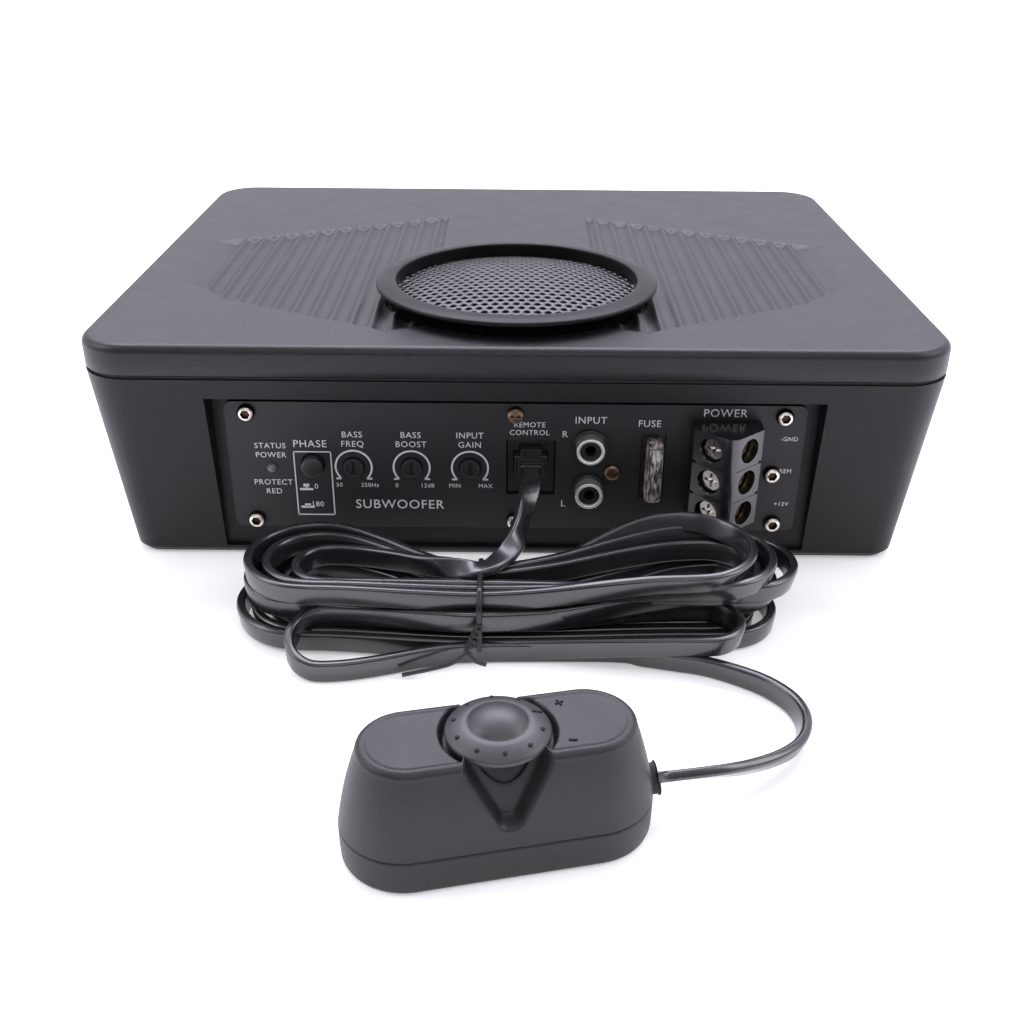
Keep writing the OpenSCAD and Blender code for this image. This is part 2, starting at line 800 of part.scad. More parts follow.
module jack_screws() {
    color("#8a6f5a") at_jack_screws() cross_screw(jack_screw_l);
}

module status_led() {
    color("#c9c2b6") on_panel(led_x, led_z) {
        translate([0, 0, -5]) cylinder(r = led_r, h = 5.2);
        translate([0, 0, 0.2]) intersection() {
            sphere(r = led_r);
            translate([-led_r, -led_r, 0]) cube([2 * led_r, 2 * led_r, led_r]);
        }
    }
}

module phase_switch() {
    color("#e0dfd8") on_panel(button_x, button_z) {
        difference() {
            translate([-switch_w / 2, -switch_w / 2, -switch_back])
                cube([switch_w, switch_w, switch_back - switch_face]);
            translate([0, 0, -button_stem - button_travel - 2 * button_clear])
                cylinder(r = button_stem_r + trimmer_fit, h = button_stem);
        }
        legs([-2, 2], button_z, -switch_w / 2);
    }
}

module phase_button() {
    color("#141415") on_panel(button_x, button_z) {
        translate([0, 0, -button_seat]) cylinder(d = button_d, h = button_seat + button_out - 0.6);
        translate([0, 0, button_out - 0.6]) rotate_extrude() polygon(concat(
            [[0, 0], [button_d / 2, 0]], arc(button_d / 2 - 0.6, 0, 0.6, 15, 90, 4), [[0, 0.6]]));
        translate([0, 0, -button_stem]) cylinder(r = button_stem_r, h = button_stem - button_seat);
    }
}

// Body of one trimmer, behind the panel
module trimmer(i) {
    color("#20304e") on_panel(trimmer_x[i], trimmer_z) {
        difference() {
            translate([-4.8, -5, -panel_t - 9]) cube([9.6, 10, 9]);
            translate([0, 0, -panel_t - 6]) cylinder(d = trimmer_d + 2 * trimmer_fit, h = 10);
        }
        legs([-2.5, 0, 2.5], trimmer_z, -5);
    }
}

// Slotted shaft of one trimmer
module trimmer_shaft(i) {
    color("#161617") on_panel(trimmer_x[i], trimmer_z) difference() {
        translate([0, 0, -panel_t - 5.7]) cylinder(d = trimmer_d, h = panel_t + 5.7 + trimmer_out);
        translate([0, 0, trimmer_out - 0.7]) cylinder(d = trimmer_d - 1.6, h = 2);
        translate([-0.5, -trimmer_d / 2 + 0.8, trimmer_out - 1.6]) cube([1, trimmer_d - 1.6, 2]);
    }
}

module frequency_trimmer() {
    trimmer(0);
}

module boost_trimmer() {
    trimmer(1);
}

module gain_trimmer() {
    trimmer(2);
}

module frequency_shaft() {
    trimmer_shaft(0);
}

module boost_shaft() {
    trimmer_shaft(1);
}

module gain_shaft() {
    trimmer_shaft(2);
}

// The plug's outline, with its latch on top, grown by `gap`
module plug_outline(gap) {
    translate([-plug_w / 2 - gap, plug_z - jack_z - plug_h / 2 - gap])
        square([plug_w + 2 * gap, plug_h + 2 * gap]);
    translate([-latch_w / 2 - gap, plug_z - jack_z + plug_h / 2 - gap])
        square([latch_w + 2 * gap, latch_h + 2 * gap]);
}

module remote_jack() {
    color("#131314") on_panel(jack_x, jack_z) {
        difference() {
            translate([-jack_w / 2 + 0.3, -jack_h / 2 + 0.3, -13])
                cube([jack_w - 0.6, jack_h - 0.6, 13 - jack_recess]);
            translate([0, 0, -plug_in - plug_fit])
                linear_extrude(plug_in + 1) plug_outline(plug_fit);
        }
        legs([-4, 0, 4], jack_z, -jack_h / 2 + 0.3);
    }
}

module rca_body() {
    color("#151516") on_panel(rca_x, rca_z) difference() {
        union() {
            translate([-6, window_low - rca_z + 0.4, -13])
                cube([12, window_high - window_low - 1.3, 13 - panel_t]);
            translate([5, rca_screw_z - rca_z - 3, -9]) cube([rca_ear, 6, 9 - panel_t]);
            legs([-3, 0, 3], rca_z, window_low - rca_z + 0.4);
            for (side = [-1, 1]) translate([0, side * rca_pitch / 2, -panel_t])
                cylinder(r = rca_collar_r, h = panel_t + 1);
        }
        for (side = [-1, 1]) translate([0, side * rca_pitch / 2, 0]) {
            translate([0, 0, -rca_root]) cylinder(d = rca_d - rca_step, h = rca_root + 2);
            translate([0, 0, -7]) cylinder(r = 1.65, h = 5);
        }
        translate([rca_screw_x - rca_x, rca_screw_z - rca_z, -jack_screw_l])
            cylinder(r = screw_r, h = jack_screw_l);
    }
}

// One RCA shell: a nickel tube that stands out of the body
module rca_shell(side) {
    color("#cfcfd2") on_panel(rca_x, rca_z + side * rca_pitch / 2) difference() {
        union() {
            translate([0, 0, -rca_root]) cylinder(d = rca_d - rca_step, h = rca_root + 1);
            translate([0, 0, 1]) cylinder(d = rca_d, h = rca_out - 1);
        }
        translate([0, 0, -rca_root - eps]) cylinder(d = rca_d - 2 * rca_wall, h = rca_out + 4);
    }
}

module rca_shell_right() {
    rca_shell(1);
}

module rca_shell_left() {
    rca_shell(-1);
}

// Black inner sleeves with their centre contacts' holes
module rca_contacts() {
    color("#0e0e0f") for (side = [-1, 1])
        on_panel(rca_x, rca_z + side * rca_pitch / 2) difference() {
            translate([0, 0, -rca_root]) cylinder(d = rca_d - 2 * rca_wall, h = rca_root + rca_out - 1);
            translate([0, 0, -rca_root - eps]) cylinder(r = 1.65, h = rca_out + 4);
        }
}

module fuse_holder() {
    color("#111112") on_panel(fuse_x, fuse_z) {
        difference() {
            translate([-fuse_t / 2 - 0.9, -fuse_l / 2 - 0.9, -13])
                cube([fuse_t + 1.8, fuse_l + 1.8, 12.6]);
            for (side = [-1, 1])
                translate([-blade_t / 2 - 0.3, side * blade_pitch / 2 - blade_w / 2 - 0.3, -9.5])
                    cube([blade_t + 0.6, blade_w + 0.6, 12]);
        }
        legs([-1.5, 1.5], fuse_z, -fuse_l / 2 - 0.9);
    }
}

// The blades stand partly inside the fuse's body
module fuse_metal() {
    for (side = [-1, 1])
        translate([-blade_t / 2, side * blade_pitch / 2 - blade_w / 2, fuse_clear - 0.4 - blade_l])
            cube([blade_t, blade_w, blade_l + 5]);
    translate([-blade_t / 2, -blade_pitch / 2, fuse_clear + 3.4]) cube([blade_t, blade_pitch, 1.2]);
}

module fuse_body() {
    color("#8a8078") on_panel(fuse_x, fuse_z) difference() {
        translate([-fuse_t / 2, -fuse_l / 2, fuse_clear - 0.4]) cube([fuse_t, fuse_l, fuse_out]);
        fuse_metal();
    }
}

module fuse_blades() {
    color("#b9bcc0") on_panel(fuse_x, fuse_z) fuse_metal();
}

// Plan of the power block: a prism with a rounded ridge
module terminal_plan() {
    half = terminal_w / 2;
    ridge = terminal_ridge_w / 2;
    polygon([[-half, 0], [-half, -terminal_out], [-ridge - 0.6, -terminal_ridge + 0.5],
             [-ridge * 0.5, -terminal_ridge], [ridge * 0.5, -terminal_ridge],
             [ridge + 0.6, -terminal_ridge + 0.5], [half, -terminal_out], [half, 0]]);
}

// Places children on one slanting face of terminal i, local Z pointing out of the face
module on_terminal(side, i) {
    mid_x = side * (terminal_w / 2 + terminal_ridge_w / 2) / 2;
    mid_y = -(terminal_out + terminal_ridge) / 2;
    translate([terminal_x + mid_x, panel_y + mid_y,
               panel_z + terminal_z - terminal_h / 2 + (i + 0.5) * terminal_pitch])
        rotate([0, 0, side * face_angle]) rotate([90, 0, 0]) children();
}

module terminal_block() {
    low = panel_z + terminal_z - terminal_h / 2;
    color("#101011") difference() {
        union() {
            translate([terminal_x, panel_y, low]) linear_extrude(terminal_h) terminal_plan();
            translate([terminal_x - terminal_w / 2, panel_y - eps, low])
                cube([terminal_w, panel_t + eps, terminal_h]);
            translate([terminal_x - terminal_w / 2 + 0.5, panel_y, low + terminal_step])
                cube([terminal_w - 1, 10, terminal_h - 2 * terminal_step]);
            on_panel(terminal_x, terminal_z) legs([-6, 0, 6], terminal_z, terminal_step - terminal_h / 2);
        }
        for (i = [1 : terminal_count - 1])
            translate([terminal_x, panel_y - 1, low + i * terminal_pitch - 0.4])
                linear_extrude(0.8) difference() {
                    translate([-terminal_w, -terminal_ridge - 1])
                        square([2 * terminal_w, terminal_ridge + 1]);
                    offset(delta = -0.9) terminal_plan();
                }
        for (i = [0 : terminal_count - 1]) {
            on_terminal(-1, i) translate([0, 0, -5]) cylinder(d = terminal_bore_d, h = 10);
            on_terminal(1, i) translate([0, 0, -9]) cylinder(d = terminal_bore_d, h = 14);
        }
    }
}

module terminal_screws() {
    color("#c4c4c6") for (i = [0 : terminal_count - 1]) on_terminal(-1, i) {
        translate([0, 0, -3.4]) difference() {
            cylinder(r = 3.1, h = 1.8);
            translate([0, 0, 1.8]) mirror([0, 0, 1]) phillips(4.4, 1);
        }
        translate([0, 0, -5]) cylinder(r = 1.5, h = 1.6);
    }
}

module terminal_clamps() {
    color("#b08d4a") for (i = [0 : terminal_count - 1]) on_terminal(1, i)
        translate([0, 0, -9]) difference() {
            cylinder(r = 3, h = 5.6);
            translate([-1.6, -2, 1]) cube([3.2, 4, 6]);
        }
}

// ---------------------------------------------------------------- remote

// The remote's shell as a leaning stadium, drawn in by `inset`
module remote_outer(inset) {
    hull() {
        translate([0, 0, remote_split - (inset > 0 ? eps : 0)]) linear_extrude(slab)
            stadium(remote_l - 2 * inset, remote_d - 2 * inset, $fn = 40);
        for (a = [0 : 30 : 90])
            translate([0, 0, remote_h - inset - remote_round * (1 - sin(a))]) linear_extrude(slab)
                stadium(remote_top_l - 2 * inset + 0.6 - 2 * remote_round * (1 - cos(a)),
                        remote_top_d - 2 * inset + 0.6 - 2 * remote_round * (1 - cos(a)), $fn = 40);
    }
}

// V-shaped hollow that runs from the knob down the front
module remote_notch(grow) {
    notch_tip = remote_split + 7.6;
    translate([0, -remote_top_d / 2 + notch_depth + grow, 0]) rotate([90, 0, 0])
        linear_extrude(remote_d) hull() {
            translate([0, notch_tip]) circle(2.2 + grow, $fn = 24);
            for (x = [-1, 1]) translate([x * (6.8 + grow), remote_h + 2]) circle(2.2, $fn = 24);
        }
}

module grommet_cut(gap) {
    translate([remote_l / 2 - 2.5, -2.4 - gap, grommet_z - 4.2 - gap])
        cube([grommet_l + 3, 4.8 + 2 * gap, 8.4 + 2 * gap]);
}

module remote_posts(r, z0, z1) {
    for (x = [-1, 1]) translate([x * (remote_l / 2 - 14), 0, z0]) cylinder(r = r, h = z1 - z0);
}

module remote_shell() {
    well_r = remote_knob_d / 2 + knob_gap;
    color("#3a3a3d") at_remote() {
        difference() {
            remote_outer(0);
            difference() {
                remote_outer(remote_wall);
                translate([0, 0, knob_floor - remote_wall])
                    cylinder(r = well_r + remote_wall, h = remote_h);
                remote_notch(remote_wall);
                remote_posts(remote_post_r, 14, remote_h);
            }
            translate([0, 0, knob_floor]) cylinder(r = well_r, h = remote_h);
            translate([0, 0, remote_split]) cylinder(r = knob_shaft_r + 0.5, h = remote_h);
            remote_notch(0);
            remote_posts(1.2, 13, 20);
            grommet_cut(0);
        }
    }
}

module remote_base() {
    color("#333336") at_remote() difference() {
        union() {
            difference() {
                hull() {
                    linear_extrude(slab) stadium(remote_l - 1.6, remote_d - 1.6, $fn = 40);
                    translate([0, 0, 1.2]) linear_extrude(slab)
                        stadium(remote_l - draft, remote_d - draft, $fn = 40);
                    translate([0, 0, remote_split - 0.3]) linear_extrude(slab)
                        stadium(remote_l, remote_d, $fn = 40);
                }
                translate([0, 0, remote_wall]) linear_extrude(remote_split)
                    stadium(remote_l - 2 * remote_wall, remote_d - 2 * remote_wall);
            }
            remote_posts(remote_post_r, remote_wall - 1, 14);
            remote_posts(remote_post_r + 1, remote_wall - 0.5, remote_board_z);
        }
        remote_posts(2.6, -1, 3);
        remote_posts(1.4, 2, 15);
        grommet_cut(0);
    }
}

module remote_screws() {
    color("#8c8c90") at_remote() {
        difference() {
            remote_posts(2.3, 1.2, 3);
            for (x = [-1, 1]) translate([x * (remote_l / 2 - 14), 0, 1.2]) phillips(2.8, 1);
        }
        remote_posts(1.2, 3, 19);
    }
}

module remote_pot() {
    color("#2a3c5c") at_remote() difference() {
        union() {
            translate([-23, -9, remote_board_z]) cube([46, 18, board_t]);
            translate([-5.5, -5.5, remote_board_z + board_t]) cube([11, 11, remote_pot_h]);
        }
        translate([0, 0, remote_split - 0.4]) cylinder(r = knob_shaft_r + knob_fit, h = remote_pot_h + 2);
        remote_posts(remote_post_r + 0.2, 0, 14);
    }
}

// The knob: a skirt with dots, a dished shoulder and a dome
module remote_knob() {
    skirt_r = remote_knob_d / 2;
    skirt_z = remote_h - 2.6;
    dome_r = skirt_r * 0.62;
    color("#37373a") at_remote() difference() {
        union() {
            rotate_extrude() polygon(concat(
                [[0, skirt_z], [skirt_r - 0.6, skirt_z]],
                arc(skirt_r - 0.8, skirt_z + 2, 0.8, 0, 70, 3),
                [[dome_r + 0.7, skirt_z + 4.2]],
                arc(0, skirt_z + 4.3 + 3.6 - dome_radius(dome_r, 3.6), dome_radius(dome_r, 3.6),
                    90 - asin(dome_r / dome_radius(dome_r, 3.6)), 90, 8)));
            translate([0, 0, remote_split]) cylinder(r = knob_shaft_r, h = skirt_z - remote_split + slab);
        }
        for (i = [1 : knob_dots]) rotate(15 + i * 360 / (knob_dots + 1))
            translate([skirt_r - 2, 0, skirt_z + 2.4]) cylinder(r = 0.4, h = 3, $fn = 16);
        rotate(15) translate([skirt_r - 3, -0.25, skirt_z + 2.4]) cube([2.2, 0.5, 3]);
    }
}

module remote_grommet() {
    color("#151515") at_remote() translate([remote_l / 2 - 2.5, -2.4, grommet_z - 4.2])
        cube([2.5 + grommet_out, 4.8, 8.4]);
}

// ---------------------------------------------------------------- cord

module from_front() {
    translate([0, front_y, 0]) children();
}

module remote_plug() {
    color("#171718") on_panel(jack_x, 0) difference() {
        translate([0, jack_z, -plug_in]) linear_extrude(plug_in + plug_out - 2) plug_outline(0);
        translate([-2.5, plug_z - 1.2, -plug_in - eps]) cube([5, 2.4, 3]);
    }
    color("#171718") on_panel(jack_x, plug_z)
        translate([-cord_w / 2 - 0.6, -cord_t / 2 - 0.9, plug_out - 2])
            cube([cord_w + 1.2, cord_t + 1.8, 2]);
}

// The lead lies flat at the plug and on the hank, and twists part of the way between them
module cord_lead_in() {
    path = smooth(concat([cord_exit], lead_in_route), 2);
    n = len(path) - 1;
    turns = [for (i = [0 : n]) 90 - lead_in_twist * sin(180 * i / n)];
    color("#101011") from_front() sweep(path, cord_section(cord_w, cord_t), turns);
}

module cord_lead_out() {
    turn = remote_turn;
    end = remote_at + [grommet_x * cos(turn), grommet_x * sin(turn), grommet_z] - [0, front_y, 0];
    path = smooth(concat(lead_out_route, [end]), 2);
    color("#101011") from_front() sweep(path, cord_section(cord_w, cord_t), level(path));
}

// One bulge of the hank, drawn in to the waist
module hank_lobe(at, r) {
    hull() {
        translate(at) circle(r, $fn = 32);
        translate(hank_waist) circle(hank_waist_r, $fn = 32);
    }
}

// The hank's outer shape, lower where the tie pinches it
module cord_hank() {
    color("#101011") from_front() difference() {
        linear_extrude(hank_h) {
            hank_lobe(hank_left, hank_left_r);
            hank_lobe(hank_front, hank_front_r);
            hank_lobe(hank_right, hank_right_r);
        }
        translate([hank_waist[0] - hank_saddle / 2, hank_waist[1] - hank_saddle, hank_waist_h])
            cube([hank_saddle, 2 * hank_saddle, hank_h]);
    }
}

module hank_tie() {
    reach = 2 * hank_waist_r + 2 * tie_w;
    high = hank_waist_h + tie_w;
    color("#0c0c0c") from_front() translate([hank_waist[0] - tie_w / 2, hank_waist[1], high / 2])
        rotate([90, 0, 90]) linear_extrude(tie_w) difference() {
            rounded_rect(reach, high, 5);
            rounded_rect(reach - 2 * tie_w, high - 2 * tie_w, 4);
        }
}

top_cover();
bottom_case();
case_gasket();
case_screws();
rubber_feet();
grille_ring();
grille_mesh();
driver_gasket();
driver_basket();
driver_screws();
top_plate();
magnet();
back_plate();
voice_coil();
cone();
dust_cap();
surround();
spider();
speaker_wires();
amp_board();
board_screws();
heat_sink();
power_transistors();
capacitors();
toroid_core();
toroid_winding();
control_panel();
panel_screws();
jack_screws();
status_led();
phase_switch();
phase_button();
frequency_trimmer();
boost_trimmer();
gain_trimmer();
frequency_shaft();
boost_shaft();
gain_shaft();
remote_jack();
rca_body();
rca_shell_right();
rca_shell_left();
rca_contacts();
fuse_holder();
fuse_body();
fuse_blades();
terminal_block();
terminal_screws();
terminal_clamps();
remote_base();
remote_shell();
remote_knob();
remote_pot();
remote_screws();
remote_grommet();
remote_plug();
cord_lead_in();
cord_hank();
cord_lead_out();
hank_tie();
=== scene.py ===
import math

import bpy
from mathutils import Matrix, Vector


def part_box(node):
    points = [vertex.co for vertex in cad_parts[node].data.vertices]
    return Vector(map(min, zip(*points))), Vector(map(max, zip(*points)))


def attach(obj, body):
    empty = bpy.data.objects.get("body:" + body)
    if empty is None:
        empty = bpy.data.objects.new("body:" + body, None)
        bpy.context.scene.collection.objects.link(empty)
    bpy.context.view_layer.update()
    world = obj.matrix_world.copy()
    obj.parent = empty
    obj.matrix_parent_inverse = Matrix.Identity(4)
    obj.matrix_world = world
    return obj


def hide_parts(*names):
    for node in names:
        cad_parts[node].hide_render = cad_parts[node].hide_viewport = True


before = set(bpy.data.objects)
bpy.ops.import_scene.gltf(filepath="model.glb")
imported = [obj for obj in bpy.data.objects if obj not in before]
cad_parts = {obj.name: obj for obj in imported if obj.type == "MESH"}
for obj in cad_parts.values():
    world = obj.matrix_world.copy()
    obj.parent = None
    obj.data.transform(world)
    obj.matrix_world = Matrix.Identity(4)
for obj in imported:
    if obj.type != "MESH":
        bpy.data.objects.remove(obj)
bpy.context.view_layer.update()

MM = 0.001

# Camera
CAMERA_AT = (0.0, -0.4053, 0.1815)
CAMERA_LENS = 40.88
CAMERA_PITCH = math.radians(28.01)
CAMERA_ROLL = math.radians(0.45)
CAMERA_YAW = math.radians(-0.14)

# Places, in millimetres
FRONT_Y = -100
PANEL_Y = -93
RING_AT = (0, -48)
REMOTE_AT = (-3, -213.7)
REMOTE_TURN = math.radians(12.6)


# ------------------------------------------------------------ camera and stage

def add_object(name, data):
    """A new object in the scene."""
    obj = bpy.data.objects.new(name, data)
    bpy.context.scene.collection.objects.link(obj)
    return obj


def link(source, output, target, socket):
    """Joins an output of one node to a socket of another in the same tree."""
    source.id_data.links.new(source.outputs[output], target.inputs[socket])


def make_camera():
    """The camera, with the photograph's viewing angle."""
    cos_p, sin_p = math.cos(CAMERA_PITCH), math.sin(CAMERA_PITCH)
    ahead = Vector((math.sin(CAMERA_YAW) * cos_p, math.cos(CAMERA_YAW) * cos_p, -sin_p))
    right = Vector((math.cos(CAMERA_YAW), -math.sin(CAMERA_YAW), 0))
    up = right.cross(ahead)
    turned_right = math.cos(CAMERA_ROLL) * right + math.sin(CAMERA_ROLL) * up
    turned_up = math.cos(CAMERA_ROLL) * up - math.sin(CAMERA_ROLL) * right
    data = bpy.data.cameras.new("camera")
    data.lens = CAMERA_LENS
    data.sensor_width = 36
    camera = add_object("camera", data)
    turn = Matrix((turned_right, turned_up, -ahead)).transposed()
    camera.matrix_world = Matrix.Translation(CAMERA_AT) @ turn.to_4x4()
    bpy.context.scene.camera = camera


def area_light(name, at, aim, size, power, colour=(1, 1, 1)):
    """A rectangular lamp that shines from one place to another."""
    data = bpy.data.lights.new(name, "AREA")
    data.shape = "RECTANGLE"
    data.size, data.size_y = size
    data.energy = power
    data.color = colour
    light = add_object(name, data)
    light.location = at
    light.rotation_mode = "QUATERNION"
    light.rotation_quaternion = (Vector(aim) - Vector(at)).to_track_quat("-Z", "Y")


def make_world():
    """White all round, and darker behind the camera, as in a studio with one open side."""
    world = bpy.data.worlds.new("world")
    bpy.context.scene.world = world
    world.use_nodes = True
    tree = world.node_tree
    tree.nodes.clear()
    place = tree.nodes.new("ShaderNodeTexCoord")
    split = tree.nodes.new("ShaderNodeSeparateXYZ")
    spread = tree.nodes.new("ShaderNodeMapRange")
    spread.inputs["From Min"].default_value = -0.75
    spread.inputs["From Max"].default_value = 0.15
    spread.inputs["To Min"].default_value = 0.22
    spread.inputs["To Max"].default_value = 1.08
    background = tree.nodes.new("ShaderNodeBackground")
    background.inputs["Color"].default_value = (1, 0.965, 1.09, 1)
    out = tree.nodes.new("ShaderNodeOutputWorld")
    link(place, "Generated", split, "Vector")
    link(split, "Y", spread, "Value")
    link(spread, "Result", background, "Strength")
    link(background, "Background", out, "Surface")


def make_floor():
    """A plain pale floor."""
    mesh = bpy.data.meshes.new("floor")
    half = 3.0
    corners = [(-half, -half, 0), (half, -half, 0), (half, half, 0), (-half, half, 0)]
    mesh.from_pydata(corners, [], [(0, 1, 2, 3)])
    floor = add_object("floor", mesh)
    material = bpy.data.materials.new("floor")
    material.use_nodes = True
    tree = material.node_tree
    shader = tree.nodes["Principled BSDF"]
    shader.inputs["Base Color"].default_value = (0.93, 0.93, 0.94, 1)
    shader.inputs["Roughness"].default_value = 0.9
    shader.inputs["Specular IOR Level"].default_value = 0.1
    shader.inputs["Emission Color"].default_value = (1, 1, 1, 1)
    shader.inputs["Emission Strength"].default_value = 0.3
    mesh.materials.append(material)


def light_scene():
    """One broad lamp behind and above, and three weak ones round the front."""
    area_light("key", (0.0, 0.55, 0.95), (0, 0, 0.03), (1.3, 0.7), 15, (1.0, 0.955, 1.12))
    area_light("left", (-0.9, -0.2, 0.7), (0, -0.1, 0.03), (0.5, 0.5), 3.2)
    area_light("right", (0.9, -0.15, 0.7), (0, -0.1, 0.03), (0.5, 0.5), 3.2)
    area_light("front", (0.05, -0.75, 0.62), (0, -0.12, 0.03), (0.6, 0.35), 1.3)


# ------------------------------------------------------------ materials

def two_colours(tree, first, second):
    """A node that goes from one colour to another."""
    mix = tree.nodes.new("ShaderNodeMix")
    mix.data_type = "RGBA"
    mix.inputs["A"].default_value = (*first, 1)
    mix.inputs["B"].default_value = (*second, 1)
    return mix


def noise(tree, scale, detail, distortion=0.0):
    """A noise texture node."""
    node = tree.nodes.new("ShaderNodeTexNoise")
    node.inputs["Scale"].default_value = scale
    node.inputs["Detail"].default_value = detail
    node.inputs["Distortion"].default_value = distortion
    return node


def finish(base, other, rough, metal=0.0, grain=900, bump=0.25, depth=0.05, coat=0.0,
           gloss=0.5, stretch=(1, 1, 1), rough_spread=0.08):
    """A procedural surface: two near colours in patches, fine grain, and roughness that varies."""
    material = bpy.data.materials.new("finish")
    material.use_nodes = True
    tree = material.node_tree
    shader = tree.nodes["Principled BSDF"]
    shader.inputs["Metallic"].default_value = metal
    shader.inputs["Specular IOR Level"].default_value = gloss
    shader.inputs["Coat Weight"].default_value = coat
    shader.inputs["Coat Roughness"].default_value = 0.12
    place = tree.nodes.new("ShaderNodeTexCoord")
    scale = tree.nodes.new("ShaderNodeMapping")
    scale.inputs["Scale"].default_value = stretch
    patches = noise(tree, 90, 4)
    mix = two_colours(tree, base, other)
    fine = noise(tree, grain, 2)
    spread = tree.nodes.new("ShaderNodeMapRange")
    spread.inputs["To Min"].default_value = max(0.02, rough - rough_spread)
    spread.inputs["To Max"].default_value = min(1.0, rough + rough_spread)
    relief = tree.nodes.new("ShaderNodeBump")
    relief.inputs["Strength"].default_value = bump
    relief.inputs["Distance"].default_value = depth * MM
    link(place, "Object", scale, "Vector")
    link(scale, "Vector", patches, "Vector")
    link(scale, "Vector", fine, "Vector")
    link(patches, "Fac", mix, "Factor")
    link(mix, "Result", shader, "Base Color")
    link(patches, "Fac", spread, "Value")
    link(spread, "Result", shader, "Roughness")
    link(fine, "Fac", relief, "Height")
    link(relief, "Normal", shader, "Normal")
    return material


def crinkled():
    """A clear body with bright metal folded inside it: light streaks on a dark brown-grey."""
    material = finish((0.03, 0.026, 0.024), (0.06, 0.05, 0.048), 0.14, grain=500, bump=0.9,
                      depth=0.7, coat=0.8, stretch=(1, 1, 0.3))
    tree = material.node_tree
    shader = tree.nodes["Principled BSDF"]
    place = tree.nodes.new("ShaderNodeTexCoord")
    scale = tree.nodes.new("ShaderNodeMapping")
    scale.inputs["Scale"].default_value = (1, 0.7, 0.22)
    streaks = noise(tree, 900, 6, 1.5)
    ramp = tree.nodes.new("ShaderNodeValToRGB")
    ramp.color_ramp.elements[0].position = 0.42
    ramp.color_ramp.elements[0].color = (0.035, 0.030, 0.028, 1)
    ramp.color_ramp.elements[1].position = 0.66
    ramp.color_ramp.elements[1].color = (0.46, 0.42, 0.39, 1)
    link(place, "Object", scale, "Vector")
    link(scale, "Vector", streaks, "Vector")
    link(streaks, "Fac", ramp, "Fac")
    link(ramp, "Color", shader, "Base Color")
    return material


def screw_with_painted_shade(rim, socket, face_y, deep_y):
    """A bright screw whose socket is painted dark as shade: its colour goes from rim to a painted
    shade colour with depth, so the side of the head near the panel is painted dark too.
    """
    material = finish(rim, rim, 0.36, metal=1.0, grain=1500, bump=0.12)
    tree = material.node_tree
    shader = tree.nodes["Principled BSDF"]
    place = tree.nodes.new("ShaderNodeTexCoord")
    split = tree.nodes.new("ShaderNodeSeparateXYZ")
    depth = tree.nodes.new("ShaderNodeMapRange")
    depth.inputs["From Min"].default_value = face_y * MM
    depth.inputs["From Max"].default_value = deep_y * MM
    # painted shade: the socket colour stands in for the shadow in the socket and round the foot of
    # the head
    mix = two_colours(tree, rim, socket)
    link(place, "Object", split, "Vector")
    link(split, "Y", depth, "Value")
    link(depth, "Result", mix, "Factor")
    link(mix, "Result", shader, "Base Color")
    return material


